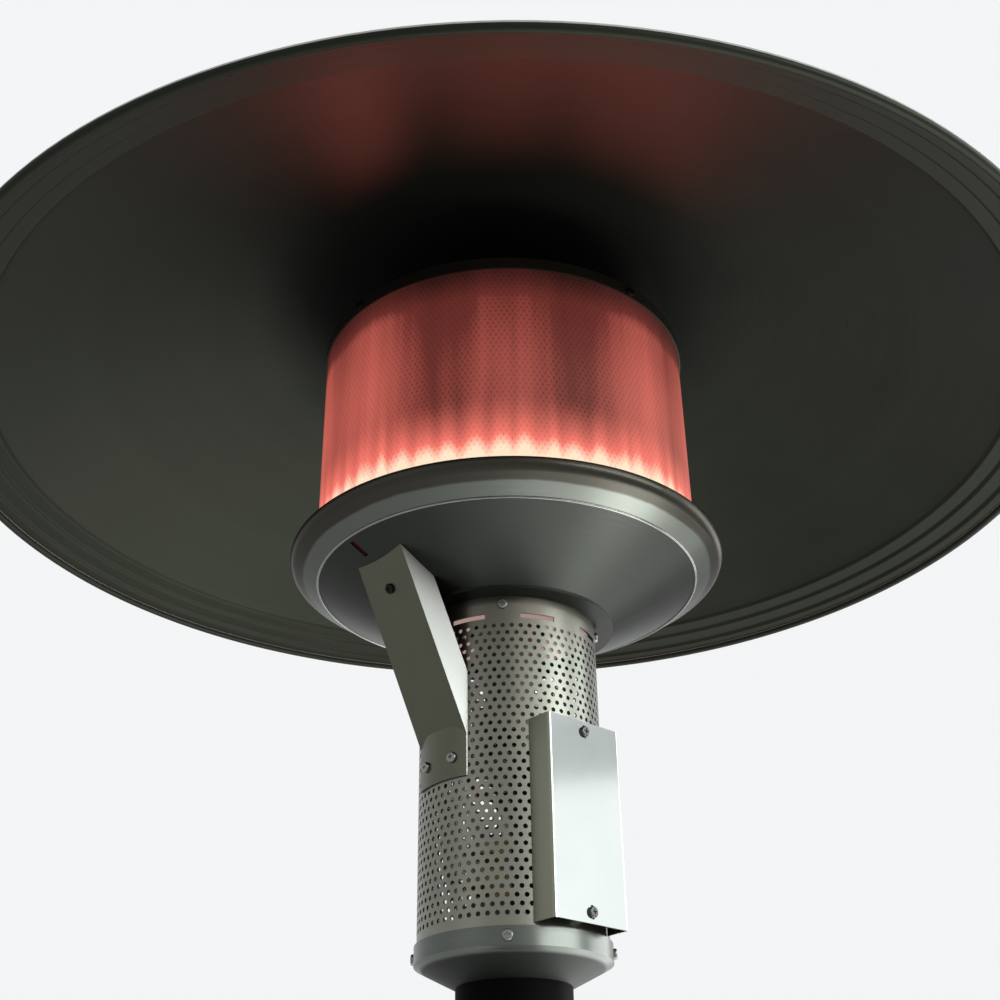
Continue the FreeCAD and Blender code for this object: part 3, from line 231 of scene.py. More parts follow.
class StageSettings(bpy.types.PropertyGroup):
    """Camera, light and floor round the heater."""

    azimuth: angle("Camera azimuth", "Where the camera stands, from the front towards the right", 3.0)
    heading: angle("Camera heading", "Turn of the view, anticlockwise from straight back", 3.247)
    distance: size("Camera distance", "From the axis to the camera, level", 0.93229)
    height: size("Camera height", "Height of the camera above the post's lower end", -0.08023)
    pitch: angle("Camera pitch", "How far the camera looks up", 29.76)
    roll: angle("Camera roll", "Tilt of the camera about its own view", -0.934)
    lens: FloatProperty(name="Lens", description="Focal length on a 36 mm sensor", default=50, unit="CAMERA")
    floor_drop: size("Floor drop", "From the post's lower end down to the floor", 1.45)
    key_power: power("Key light", "Soft light from the upper right", 6.4)
    front_power: power("Front light", "Weak light from the front, to the right of the camera", 2.2)
    near_power: power("Near light", "Soft light from the right, on the camera's side", 7.0)
    far_power: power("Far light", "Soft light from the right, behind the heater", 3.2)
    side_power: power("Side light", "Soft light from the right, level with the cover", 2.1)
    edge_power: power("Edge light", "Soft light from the right and behind", 7.5)
    strip_power: power("Strip light", "Low strip on the right, for the cup's band", 14.5)
    under_power: power("Under light", "Soft light from below, on the right", 11.0)
    low_power: power("Low light", "Soft light from behind and the right, near the floor", 10.0)
    bounce_power: power("Bounce light", "Soft light from the floor behind", 14.0)
    daylight: colour("Daylight", "Cool colour of the lights from the upper right", (0.88, 0.97, 1.0))
    fill_power: power("Fill light", "Large weak light from the left", 1.2)
    glow_power: power("Screen glow", "Strongest of the lights that the screen throws outwards", 0.0456)
    pale: colour("Backdrop", "Plain pale backdrop", (0.90, 0.91, 0.92))
    ambient: colour("Room light", "Even light from all round", (0.46, 0.47, 0.48))
    floor: colour("Floor", "Plain pale floor", (0.56, 0.56, 0.555))
    floor_lift: colour("Floor lift", "How far the floor is lifted towards the backdrop", (0.46, 0.465, 0.47))


class Value:
    """A number that varies over a finish. Arithmetic on it adds Math nodes."""

    def __init__(self, finish, socket):
        self.finish = finish
        self.socket = socket

    def math(self, operation, *terms, clamp=False):
        settings = {"operation": operation, "use_clamp": clamp}
        return self.finish.node("ShaderNodeMath", settings, dict(enumerate(terms)))

    def __add__(self, other):
        return self.math("ADD", self, other)

    def __radd__(self, other):
        return self.math("ADD", other, self)

    def __sub__(self, other):
        return self.math("SUBTRACT", self, other)

    def __rsub__(self, other):
        return self.math("SUBTRACT", other, self)

    def __mul__(self, other):
        return self.math("MULTIPLY", self, other)

    def __rmul__(self, other):
        return self.math("MULTIPLY", other, self)

    def cosine(self):
        return self.math("COSINE", self)

    def arctan2(self, other):
        return self.math("ARCTAN2", self, other)

    def root(self):
        return self.math("SQRT", self)

    def folded(self, half):
        """Distance from the nearest even multiple of a half period."""
        return self.math("PINGPONG", self, half)

    def larger(self, other):
        return self.math("MAXIMUM", self, other)

    def clamped(self):
        return self.math("ADD", self, 0.0, clamp=True)


class Finish:
    """The nodes of one material, or of the world."""

    def __init__(self, owner, shader="Principled BSDF"):
        owner.use_nodes = True
        self.owner = owner
        self.tree = owner.node_tree
        self.shader = self.tree.nodes[shader]

    def feed(self, socket, value):
        if isinstance(value, Value):
            self.tree.links.new(value.socket, socket)
        else:
            socket.default_value = value

    def node(self, kind, settings=None, sockets=None, output=0):
        made = self.tree.nodes.new(kind)
        for name, value in (settings or {}).items():
            if name == "stops":
                self.set_stops(made.color_ramp, value)
            else:
                setattr(made, name, value)
        for name, value in (sockets or {}).items():
            self.feed(made.inputs[name], value)
        return Value(self, made.outputs[output])

    def set_stops(self, ramp, stops):
        while len(ramp.elements) < len(stops):
            ramp.elements.new(0.5)
        for element, (position, shade) in zip(ramp.elements, stops):
            element.position = position
            element.color = rgba(shade)

    def dress(self, sockets):
        for name, value in sockets.items():
            self.feed(self.shader.inputs[name], value)
        return self

    def parts(self, vector):
        split = self.node("ShaderNodeSeparateXYZ", sockets={"Vector": vector}).socket.node
        return [Value(self, socket) for socket in split.outputs]

    def place(self):
        return self.node("ShaderNodeTexCoord", output="Object")

    def facing(self):
        return self.parts(self.node("ShaderNodeTexCoord", output="Normal"))

    def turned(self):
        """Place across the front, distance from the axis and height of a point."""
        x, y, z = self.parts(self.place())
        return x, (x * x + y * y).root(), z

    def vector(self, x, y, z):
        return self.node("ShaderNodeCombineXYZ", sockets={"X": x, "Y": y, "Z": z})

    def noise(self, vector, scale, detail=2.0, roughness=0.5):
        sockets = {"Vector": vector, "Scale": scale, "Detail": detail, "Roughness": roughness}
        return self.node("ShaderNodeTexNoise", {"noise_dimensions": "3D"}, sockets)

    def grain(self, vector, scale):
        """Fine lines of rolled, brushed or spun metal."""
        return self.noise(vector, scale, 3.0, 0.6)

    def smudge(self, scale):
        """Soft blotches of handled metal or worn paint."""
        return self.noise(self.place(), scale, 4.0, 0.6)

    def rise(self, value, start, end):
        """Smooth step from 0 at start to 1 at end."""
        sockets = {"Value": value, "From Min": start, "From Max": end}
        return self.node("ShaderNodeMapRange", {"interpolation_type": "SMOOTHSTEP"}, sockets)

    def mix(self, factor, first, second):
        """Mix of two colours. A Mix node has its colours' sockets under these numbers."""
        sockets = {0: factor, 6: rgba(first), 7: rgba(second)}
        return self.node("ShaderNodeMix", {"data_type": "RGBA"}, sockets, output=2)

    def toned(self, factor, shade, low, high):
        """One colour that varies between two shares of itself."""
        return self.mix(factor, scaled(shade, low), scaled(shade, high))

    def ramp(self, factor, *stops):
        return self.node("ShaderNodeValToRGB", {"stops": stops}, {"Fac": factor})

    def bump(self, height, strength, distance):
        sockets = {"Height": height, "Strength": strength, "Distance": distance}
        return self.node("ShaderNodeBump", sockets=sockets)


def rgba(shade):
    if isinstance(shade, Value):
        return shade
    return (*tuple(shade)[:3], 1.0)


def scaled(shade, factor):
    return tuple(min(1.0, part * factor) for part in shade)


def new_finish(name):
    return Finish(bpy.data.materials.new(name))


def brushed_sheet(name, shade, roughness):
    """Satin sheet metal with a fine upright grain."""
    finish = new_finish(name)
    x, y, z = finish.parts(finish.place())
    lines = finish.grain(finish.vector(x, y, z * 0.02), 900.0)
    smudge = finish.smudge(26.0)
    tone = (lines * 0.55 + smudge * 0.75 - 0.15).clamped()
    finish.dress({
        "Base Color": finish.toned(tone, shade, 0.80, 1.18),
        "Metallic": 1.0,
        "Roughness": (smudge * 0.16 + lines * 0.08 + (roughness - 0.12)).clamped(),
        "Normal": finish.bump(lines, 0.10, 0.0004),
    })
    return finish.owner


def perforated_sheet(colours):
    """Mill-finished sheet, tinted by heat towards its upper edge."""
    finish = new_finish("perforated_sheet")
    x, y, z = finish.parts(finish.place())
    smudge = finish.smudge(30.0)
    grain = finish.grain(finish.vector(x, y, z * 40.0), 33.0)
    tone = (smudge * 0.8 + grain * 0.5 - 0.15).clamped()
    heat = finish.rise(z + smudge * 0.03, *HOUSING_HEAT)
    metal = finish.toned(tone, colours.sheet, 0.78, 1.20)
    finish.dress({
        "Base Color": finish.mix(heat * 0.25, metal, colours.burnt),
        "Metallic": 1.0,
        "Roughness": smudge * 0.18 + 0.24,
        "Normal": finish.bump(smudge, 0.12, 0.002),
    })
    return finish.owner


def pressed_marks(finish, blotches):
    """Faint rings and blotches of sheet pressed or spun about the axis."""
    x, radius, z = finish.turned()
    rings = finish.noise(finish.vector(radius, z, x * 0.03), 620.0)
    return rings, finish.smudge(blotches)


def pressed_sheet(name, shade, roughness):
    """Sheet pressed or spun about the axis, with faint rings."""
    finish = new_finish(name)
    rings, smudge = pressed_marks(finish, blotches=17.0)
    tone = (rings * 0.5 + smudge * 0.8 - 0.15).clamped()
    finish.dress({
        "Base Color": finish.toned(tone, shade, 0.80, 1.20),
        "Metallic": 1.0,
        "Roughness": smudge * 0.18 + (roughness - 0.09),
        "Normal": finish.bump(rings, 0.10, 0.0006),
    })
    return finish.owner


def cup_steel(colours):
    """Pressed cup: a bright band, and a duller, darker copy on the cone below it as painted shade."""
    finish = new_finish("cup_steel")
    height = finish.turned()[2]
    rings, smudge = pressed_marks(finish, blotches=17.0)
    tone = (rings * 0.5 + smudge * 0.8 - 0.15).clamped()
    # The cone below the band takes a darker copy of the cup steel: painted shade.
    cone = 1.0 - finish.rise(height, *CUP_BAND_FOOT)
    band = finish.toned(tone, colours.cup, 0.80, 1.20)
    dull = finish.toned(tone, colours.cup, 0.17, 0.25)
    finish.dress({
        "Base Color": finish.mix(cone, band, dull),
        "Metallic": 1.0,
        "Roughness": smudge * 0.18 + cone * 0.26 + 0.21,
        "Normal": finish.bump(rings, 0.10, 0.0006),
    })
    return finish.owner


def collar_steel(colours):
    """Collar in a dark copy of the cup steel as painted shade, with a painted glow of the burner's light
    where it roofs the housing.
    """
    finish = new_finish("collar_steel")
    radius = finish.turned()[1]
    smudge = finish.smudge(17.0)
    # The downward face inside the spigot glows as painted light; the collar's dark colour is painted shade.
    under = finish.rise(finish.facing()[2] * -1.0, 0.5, 0.9)
    inside = 1.0 - finish.rise(radius, *COLLAR_SPIGOT)
    finish.dress({
        "Base Color": finish.toned(smudge, colours.cup, 0.16, 0.26),
        "Metallic": 1.0,
        "Roughness": smudge * 0.18 + 0.33,
        "Emission Color": finish.mix(under * inside, BLACK, colours.neck),
        "Emission Strength": 1.0,
    })
    return finish.owner


def pan_steel(colours):
    """Pressed pan: a smooth cone, a lighter band outside it as painted reflection, and a darker rim as
    painted shade.
    """
    finish = new_finish("pan_steel")
    radius = finish.turned()[1]
    rings, smudge = pressed_marks(finish, blotches=15.0)
    tone = (rings * 0.35 + smudge * 0.7 - 0.1).clamped()
    cone = finish.toned(tone, colours.pan, 0.84, 1.14)
    # The band outside the cone: a lighter copy of the pan steel as painted reflection.
    painted_reflection_band = finish.toned(tone, colours.pan, 3.1, 3.6)
    metal = finish.mix(finish.rise(radius, *PAN_BAND_START), cone, painted_reflection_band)
    # The rim: darker, as painted shade.
    rim = finish.rise(radius + smudge * 0.003, *PAN_RIM_START)
    finish.dress({
        "Base Color": finish.mix(rim, metal, colours.rim),
        "Metallic": 1.0,
        "Specular Tint": (0.7, 0.7, 0.7, 1.0),
        "Roughness": smudge * 0.14 + 0.25,
        "Normal": finish.bump(rings, 0.08, 0.0006),
    })
    return finish.owner


def cover_steel(colours):
    """Cover sheet: polished on its face; its bent sides are a darker copy as painted shade."""
    finish = new_finish("cover_steel")
    x, y, z = finish.parts(finish.place())
    across = x * math.cos(CONTROL_AZIMUTH) + y * math.sin(CONTROL_AZIMUTH)
    lines = finish.grain(finish.vector(across, z * 0.012, 0.0), 1500.0)
    smudge = finish.smudge(24.0)
    lean = finish.facing()
    square = lean[0] * math.sin(CONTROL_AZIMUTH) - lean[1] * math.cos(CONTROL_AZIMUTH)
    face = finish.rise(square, 0.80, 0.97)
    tone = (lines * 0.5 + smudge * 0.7 - 0.1).clamped()
    polished = finish.toned(tone, colours.cover, 0.93, 1.06)
    # The bent sides: a darker copy of the sheet as painted shade.
    dull = finish.toned(tone, colours.cover_painted_shade, 0.80, 1.20)
    finish.dress({
        "Base Color": finish.mix(face, dull, polished),
        "Metallic": 1.0,
        "Roughness": 0.30 - face * 0.22 + smudge * 0.05,
        "Normal": finish.bump(lines, 0.04, 0.0003),
    })
    return finish.owner


def channel_steel(colours):
    """Channel sheet: satin web; its flanks are a lighter copy as painted light."""
    finish = new_finish("channel_steel")
    x, y, z = finish.parts(finish.place())
    across = x * math.cos(CHANNEL_AZIMUTH) + y * math.sin(CHANNEL_AZIMUTH)
    lines = finish.grain(finish.vector(across, z * 0.015, 0.0), 1100.0)
    smudge = finish.smudge(26.0)
    lean = finish.facing()
    sideways = lean[0] * math.cos(CHANNEL_AZIMUTH) + lean[1] * math.sin(CHANNEL_AZIMUTH)
    # Sideways faces: a lighter copy of the sheet as painted light.
    flank = finish.rise(sideways * sideways, 0.55, 0.90)
    tone = (lines * 0.5 + smudge * 0.7 - 0.1).clamped()
    web = finish.toned(tone, colours.channel, 0.82, 1.16)
    bright = finish.toned(tone, colours.flank, 0.88, 1.08)
    finish.dress({
        "Base Color": finish.mix(flank, web, bright),
        "Metallic": 1.0,
        "Roughness": 0.24 + smudge * 0.14 + flank * 0.10,
        "Normal": finish.bump(lines, 0.08, 0.0004),
    })
    return finish.owner


def spun_reflector(colours):
    """Spun aluminium, weathered; the underside is a darker copy as painted shade, darker still towards the
    middle over the screen.
    """
    finish = new_finish("spun_reflector")
    x, radius = finish.turned()[:2]
    rings = finish.grain(finish.vector(radius, 0.0, x * 0.02), 420.0)
    bands = finish.noise(finish.vector(radius, 0.0, 0.0), 34.0)
    smudge = finish.smudge(7.0)
    tone = (rings * 0.35 + bands * 0.35 + smudge * 0.7 - 0.2).clamped()
    # Darker towards the middle over the screen; below that, a darker copy of the aluminium as painted shade.
    burnt = 1.0 - finish.rise(radius + (smudge - 0.5) * 0.05, *MIDDLE_DARK_FADE)
    below = finish.mix(burnt, finish.toned(tone, colours.under, 0.70, 1.35), colours.soot_and_shade)
    above = finish.toned(tone, colours.top, 0.86, 1.10)
    top_side = finish.rise(finish.facing()[2], -0.05, 0.05)
    finish.dress({
        "Base Color": finish.mix(top_side, below, above),
        "Metallic": 1.0,
        "Roughness": (0.46 + burnt * 0.25 + top_side * 0.16 + smudge * 0.10).clamped(),
        "Normal": finish.bump(rings, 0.16, 0.0007),
    })
    return finish.owner


def glowing_screen(colours):
    """Perforated screen glowing red, with tongues of flame at its foot."""
    finish = new_finish("glowing_screen")
    x, radius, z = finish.turned()
    y = finish.parts(finish.place())[1]
    around = x.arctan2(y * -1.0) - SCREEN_TURN
    height = (z - FLAME_FOOT) * (1.0 / FLAME_REACH)
    off_hot = around.folded(HOT_SPACING)

    def off_by(start, end):
        return finish.rise(off_hot, math.radians(start), math.radians(end))

    # Heat runs from 0, dark, to 1, flame. The sheet is hotter and cooler by turns round the axis.
    sides = off_by(20, 45) * 0.22 - off_by(2, 22) * 0.10 - off_by(45, 60) * 0.08
    streak = finish.noise(finish.vector(x, y, z * 0.06), 90.0) - 0.5
    top = finish.rise(height, 0.45, 1.00)
    edge = finish.rise(height, 0.82, 1.02)
    # The flames reach up unevenly, lean a little and fade behind the pan's rim.
    reach = finish.noise(finish.vector(x, y, 0.3), 60.0, 1.0) - 0.5
    wander = finish.noise(finish.vector(x, y, 0.0), 65.0, 1.0)
    tongue = ((around + wander * 0.09) * FLAME_TONGUES).cosine()
    glow = 1.0 - finish.rise(height - reach * 0.05, -0.05, 0.34)
    lick = 1.0 - finish.rise(height - reach * 0.05, 0.00, 0.42)
    foot = 1.0 - finish.rise(height - reach * 0.04, 0.00, 0.16)
    hidden = 1.0 - finish.rise(height, -0.10, 0.00)
    body = sides * (1.0 - glow) + streak * 0.15 - top * 0.10 - edge * 0.35 + 0.51
    flames = glow * 0.47 + lick * tongue * 0.06 + foot * 0.13 - hidden * 0.36
    # Painted holes: darker as painted shade of the screen's inside, and glowing a little less.
    hole = (around * SCREEN_HOLES).cosine() * (z * (2 * math.pi / SCREEN_PITCH)).cosine()
    hole = finish.rise(hole, 0.35, 0.65)
    outer = finish.rise(radius, SCREEN_HIGH.x - SCREEN_SKIN, SCREEN_HIGH.x - SCREEN_SKIN / 3)
    heat = (body + flames - hole * 0.04).clamped() * outer
    finish.dress({
        "Base Color": finish.mix(hole, scaled(colours.burnt, 0.20), colours.soot_and_shade),
        "Roughness": 0.7,
        "Specular IOR Level": 0.1,
        "Emission Color": finish.ramp(
            heat,
            (0.0, colours.ember),
            (0.22, scaled(colours.dull_red, 0.55)),
            (0.40, colours.dull_red),
            (0.62, colours.salmon),
            (0.80, scaled(colours.salmon, 1.75)),
            (1.0, colours.flame),
        ),
        "Emission Strength": 1.0,
    })
    return finish.owner


def plated(name, shade, roughness):
    """Plated or turned metal with slight tarnish."""
    finish = new_finish(name)
    tarnish = finish.smudge(120.0)
    fine = finish.noise(finish.place(), 900.0)
    finish.dress({
        "Base Color": finish.toned(tarnish, shade, 0.72, 1.18),
        "Metallic": 1.0,
        "Roughness": tarnish * 0.20 + (roughness - 0.10),
        "Normal": finish.bump(fine, 0.08, 0.0002),
    })
    return finish.owner


def channel_plating(colours):
    """Zinc plate, darker on the screw next to the pan."""
    finish = new_finish("channel_plating")
    z = finish.parts(finish.place())[2]
    tarnish = finish.smudge(120.0)
    # Darker from this height up, on the screw next to the pan.
    burnt = finish.rise(z, *CHANNEL_DARK_SPAN)
    metal = finish.toned(tarnish, colours.zinc, 0.28, 0.50)
    finish.dress({
        "Base Color": finish.mix(burnt, metal, colours.soot_and_shade),
        "Metallic": 1.0,
        "Roughness": tarnish * 0.20 + burnt * 0.20 + 0.22,
    })
    return finish.owner


def moulded(name, shade, roughness, grain, depth, gloss=0.5):
    """Paint, plastic, rubber or ceramic with a fine surface grain."""
    finish = new_finish(name)
    fine = finish.noise(finish.place(), grain)
    wear = finish.smudge(38.0)
    finish.dress({
        "Base Color": finish.toned(wear, shade, 0.80, 1.25),
        "Roughness": wear * 0.16 + (roughness - 0.08),
        "Specular IOR Level": gloss,
        "Normal": finish.bump(fine, depth, 0.0003),
    })
    return finish.owner


def give(material, *names):
    """Puts one finish on CAD nodes."""
    for name in names:
        for slot in NODES[name].material_slots:
            slot.material = material


def finished(bm, name, material, sharp):
    """Turns a modelled bmesh into an object with its finish."""
    mesh = bpy.data.meshes.new(name)
    bm.to_mesh(mesh)
    bm.free()
    mesh.shade_smooth()
    mesh.set_sharp_from_angle(angle=sharp)
    mesh.materials.append(material)
    piece = bpy.data.objects.new(name, mesh)
    bpy.context.scene.collection.objects.link(piece)
    return piece


def everything(bm):
    return bm.verts[:] + bm.edges[:] + bm.faces[:]


def in_order(parts):
    """Each part once, in the order of its first place."""
    return list(dict.fromkeys(parts))


def edges_at(verts):
    return in_order(edge for vert in verts for edge in vert.link_edges)


def punched_cell(bm, width, height, hole, sides):
    """One cell of perforated sheet: a plain rectangle with a round hole, flat about the origin."""
    cell = bmesh.ops.create_grid(bm, x_segments=2, y_segments=1, size=0.5)
    bmesh.ops.scale(bm, vec=(width, height, 1), verts=cell["verts"])
    bmesh.ops.dissolve_edges(bm, edges=[edge for edge in bm.edges if not edge.is_boundary])
    border = bm.edges[:]
    bmesh.ops.delete(bm, geom=bm.faces[:], context="FACES_ONLY")
    ring = bmesh.ops.create_circle(bm, segments=sides, radius=hole)["verts"]
    bmesh.ops.bridge_loops(bm, edges=border + edges_at(ring))


def roll(bm, radius):
    """Rolls a flat sheet to a cylinder about the axis, with its middle at the front."""
    for vert in bm.verts:
        turn = vert.co.x / radius
        vert.co = (radius * math.sin(turn), -radius * math.cos(turn), vert.co.y)


def plain_bands(bm, radius, segments, heights):
    """Plain rings of sheet between the given heights."""
    ring = bmesh.ops.create_circle(bm, segments=segments, radius=radius)["verts"]
    bmesh.ops.translate(bm, verts=ring, vec=(0, 0, heights[0]))
    edges = edges_at(ring)
    for low, high in zip(heights, heights[1:]):
        made = bmesh.ops.extrude_edge_only(bm, edges=edges)["geom"]
        ring = {part for part in made if isinstance(part, bmesh.types.BMVert)}
        bmesh.ops.translate(bm, verts=list(ring), vec=(0, 0, high - low))
        edges = [
            part for part in made
            if isinstance(part, bmesh.types.BMEdge) and ring.issuperset(part.verts)
        ]


def bow(start, end, bulge, count):
    """Points along an arc that stands off its chord on the upper side, without its start."""
    chord = (end - start).normalized()
    upper = Vector((-chord.y, chord.x))
    half = (end - start).length / 2
    radius = (half * half + bulge * bulge) / (2 * bulge)
    centre = (start + end) / 2 + upper * (bulge - radius)
    reach = math.asin(half / radius)
    turns = [reach * (2 * step / count - 1) for step in range(1, count + 1)]
    return [centre + radius * (upper * math.cos(turn) + chord * math.sin(turn)) for turn in turns]


def spin_outline(bm, points, segments):
    """Spins an open outline of radius and height about the axis."""
    verts = [bm.verts.new((point.x, 0, point.y)) for point in points]
    edges = [bm.edges.new(pair) for pair in zip(verts, verts[1:])]
    bmesh.ops.spin(
        bm, geom=verts + edges, axis=(0, 0, 1), angle=2 * math.pi, steps=segments, use_merge=True
    )


def spin_ring(bm, radius, z, bead, sides, segments):
    """Round ring about the axis, with its faces outwards."""
    others = set(bm.faces)
    ring = bmesh.ops.create_circle(bm, segments=sides, radius=bead)["verts"]
    bmesh.ops.rotate(bm, verts=ring, matrix=Matrix.Rotation(math.pi / 2, 3, "X"))
    bmesh.ops.translate(bm, verts=ring, vec=(radius, 0, z))
    edges = edges_at(ring)
    bmesh.ops.spin(
        bm, geom=ring + edges, axis=(0, 0, 1), angle=2 * math.pi, steps=segments, use_merge=True
    )
    bmesh.ops.recalc_face_normals(bm, faces=[face for face in bm.faces if face not in others])


def azimuth_of(point):
    """Turn of a point round the axis, from the front towards the right."""
    return math.atan2(point.x, -point.y)


def outward(azimuth):
    """Level direction away from the axis."""
    return Vector((math.sin(azimuth), -math.cos(azimuth), 0))


def cut_opening(bm, azimuth, width, low, high):
    """Cuts a rectangular opening, seen square on from an azimuth."""
    out = outward(azimuth)
    side = Vector((math.cos(azimuth), math.sin(azimuth), 0))
    planes = [
        (side * (width / 2), side),
        (side * (-width / 2), -side),
        (Vector((0, 0, high)), Vector((0, 0, 1))),
        (Vector((0, 0, low)), Vector((0, 0, -1))),
    ]

    def inside(point, room):
        return (
            point.dot(out) > 0
            and abs(point.dot(side)) < width / 2 + room
            and low - room < point.z < high + room
        )

    for place, normal in planes:
        near = [face for face in bm.faces if inside(face.calc_center_median(), OPENING_MARGIN)]
        parts = in_order(part for face in near for part in (face, *face.edges, *face.verts))
        bmesh.ops.bisect_plane(bm, geom=parts, dist=MERGE / 10, plane_co=place, plane_no=normal)
    gone = [face for face in bm.faces if inside(face.calc_center_median(), 0)]
    bmesh.ops.delete(bm, geom=gone, context="FACES")


class HEATER_OT_housing(bpy.types.Operator):
    """Models the perforated housing in place of its plain CAD shell"""

    bl_idname = "heater.housing"
    bl_label = "Perforated housing"

    def execute(self, context):
        sizes = context.scene.heater_housing
        step = 2 * math.pi / sizes.columns
        pitch = sizes.radius * step
        lift = pitch * math.sqrt(3) / 2
        field_low = sizes.low + sizes.plain
        field_high = field_low + lift * sizes.rows
        vent = sizes.high - sizes.vent_drop
        vent_low = vent - sizes.vent_height / 2
        vent_high = vent + sizes.vent_height / 2
        if field_high > vent_low:
            raise RuntimeError("the rows of holes reach into the vents: use fewer rows")
        bm = bmesh.new()
        punched_cell(bm, pitch, lift, sizes.hole, sizes.hole_sides)
        roll(bm, sizes.radius)
        bmesh.ops.translate(bm, verts=bm.verts, vec=(0, 0, field_low + lift / 2))
        turns = sizes.columns - 1
        bmesh.ops.spin(
            bm, geom=everything(bm), axis=(0, 0, 1), angle=step * turns, steps=turns, use_duplicate=True
        )
        turns = sizes.rows - 1
        bmesh.ops.spin(
            bm, geom=everything(bm), axis=(0, 0, 1), dvec=(0, 0, lift),
            angle=step / 2 * turns, steps=turns, use_duplicate=True,
        )
        plain_bands(bm, sizes.radius, 2 * sizes.columns, [sizes.low, field_low])
        plain_bands(bm, sizes.radius, 2 * sizes.columns, [field_high, vent_low, vent_high, sizes.high])
        bmesh.ops.remove_doubles(bm, verts=bm.verts, dist=MERGE)
        slots = [
            face for face in bm.faces
            if vent_low < face.calc_center_median().z < vent_high
            and math.cos(VENT_COUNT * azimuth_of(face.calc_center_median())) < 0
        ]
        bmesh.ops.delete(bm, geom=slots, context="FACES")
        cut_opening(bm, CONTROL_AZIMUTH, sizes.window_width, PLATE_LOW.z, PLATE_HIGH.z)
        cut_opening(bm, CHANNEL_AZIMUTH, sizes.slot_width, sizes.slot_low, sizes.slot_high)
        bmesh.ops.recalc_face_normals(bm, faces=bm.faces)
        bmesh.ops.solidify(bm, geom=bm.faces[:], thickness=sizes.wall)
        material = perforated_sheet(context.scene.heater_colours)
        piece = finished(bm, "perforated_housing", material, sharp=math.radians(35))
        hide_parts("housing_shell")
        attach(piece, "head")
        return {"FINISHED"}


class HEATER_OT_reflector(bpy.types.Operator):
    """Models the spun reflector with its crown, stepped brim and rolled rim"""

    bl_idname = "heater.reflector"
    bl_label = "Reflector"

    def execute(self, context):
        sizes = context.scene.heater_reflector
        bm = bmesh.new()
        rim = self.spin_dish(bm, sizes)
        spin_ring(bm, rim.x, rim.y, sizes.hem, HEM_SIDES, sizes.segments)
        material = spun_reflector(context.scene.heater_colours)
        piece = finished(bm, "spun_reflector", material, sharp=math.radians(40))
        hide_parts("reflector")
        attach(piece, "head")
        return {"FINISHED"}

    def spin_dish(self, bm, sizes):
        """Spins the sheet and returns the radius and height of its edge."""
        crown = sizes.high - sizes.sheet
        flat = Vector((sizes.crown, crown))
        edge = sizes.radius - sizes.hem
        brim = Vector((edge - sizes.brim, crown - sizes.dome_drop))
        outline = [Vector((0, crown)), flat - Vector((sizes.crown_blend, 0)), flat]
        outline += bow(flat, brim, sizes.dome_bulge, DOME_STEPS)
        tread = sizes.brim / sizes.steps - sizes.step_run
        for _ in range(sizes.steps):
            outline.append(outline[-1] + Vector((sizes.step_run, -sizes.step_drop)))
            outline.append(outline[-1] + Vector((tread, -sizes.tread_drop)))
        spin_outline(bm, outline, sizes.segments)
        bmesh.ops.remove_doubles(bm, verts=bm.verts, dist=MERGE)
        bmesh.ops.recalc_face_normals(bm, faces=bm.faces)
        if sum(face.normal.z * face.calc_area() for face in bm.faces) > 0:
            bmesh.ops.reverse_faces(bm, faces=bm.faces)
        corners = [
            line for line in bm.edges
            if line.is_manifold and brim.x - MERGE < math.hypot(*line.verts[0].co.xy) < edge - MERGE
            and abs(line.verts[0].co.z - line.verts[1].co.z) < MERGE
        ]
        bmesh.ops.bevel(
            bm, geom=corners, offset=sizes.step_round, segments=2, profile=0.5, affect="EDGES", material=-1
        )
        bmesh.ops.solidify(bm, geom=bm.faces[:], thickness=sizes.sheet)
        return outline[-1]


class HEATER_OT_screen(bpy.types.Operator):
    """Finishes the glowing screen, its ring and its cap"""

    bl_idname = "heater.screen"
    bl_label = "Emitter screen"

    def execute(self, context):
        colours = context.scene.heater_colours
        give(glowing_screen(colours), "emitter_screen")
        give(pressed_sheet("burnt_cap", scaled(colours.burnt, 0.30), roughness=0.55), "screen_cap")
        give(pressed_sheet("burnt_ring", scaled(colours.burnt, 0.55), roughness=0.50), "screen_ring")
        return {"FINISHED"}


class HEATER_OT_sheet_metal(bpy.types.Operator):
    """Finishes the pan, cup, collar, channel, cover and inner plates"""

    bl_idname = "heater.sheet_metal"
    bl_label = "Sheet metal"

    def execute(self, context):
        colours = context.scene.heater_colours
        give(pan_steel(colours), "burner_pan")
        give(cup_steel(colours), "base_cup")
        give(collar_steel(colours), "neck_collar")
        give(channel_steel(colours), "pilot_channel")
        give(cover_steel(colours), "control_cover")
        plate = brushed_sheet("plate_steel", colours.plate, roughness=0.34)
        give(plate, "control_plate", "pilot_bracket")
        return {"FINISHED"}


class HEATER_OT_pan_bead(bpy.types.Operator):
    """Models the bright bead along the edge of the pan's cone"""

    bl_idname = "heater.pan_bead"
    bl_label = "Pan bead"

    def execute(self, context):
        sizes = context.scene.heater_pan
        bm = bmesh.new()
        spin_ring(bm, sizes.cone, sizes.cone_height, sizes.bead, BEAD_SIDES, BEAD_SEGMENTS)
        material = plated("polished_bead", context.scene.heater_colours.bead, roughness=0.22)
        piece = finished(bm, "pan_bead", material, sharp=math.radians(60))
        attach(piece, "head")
        return {"FINISHED"}


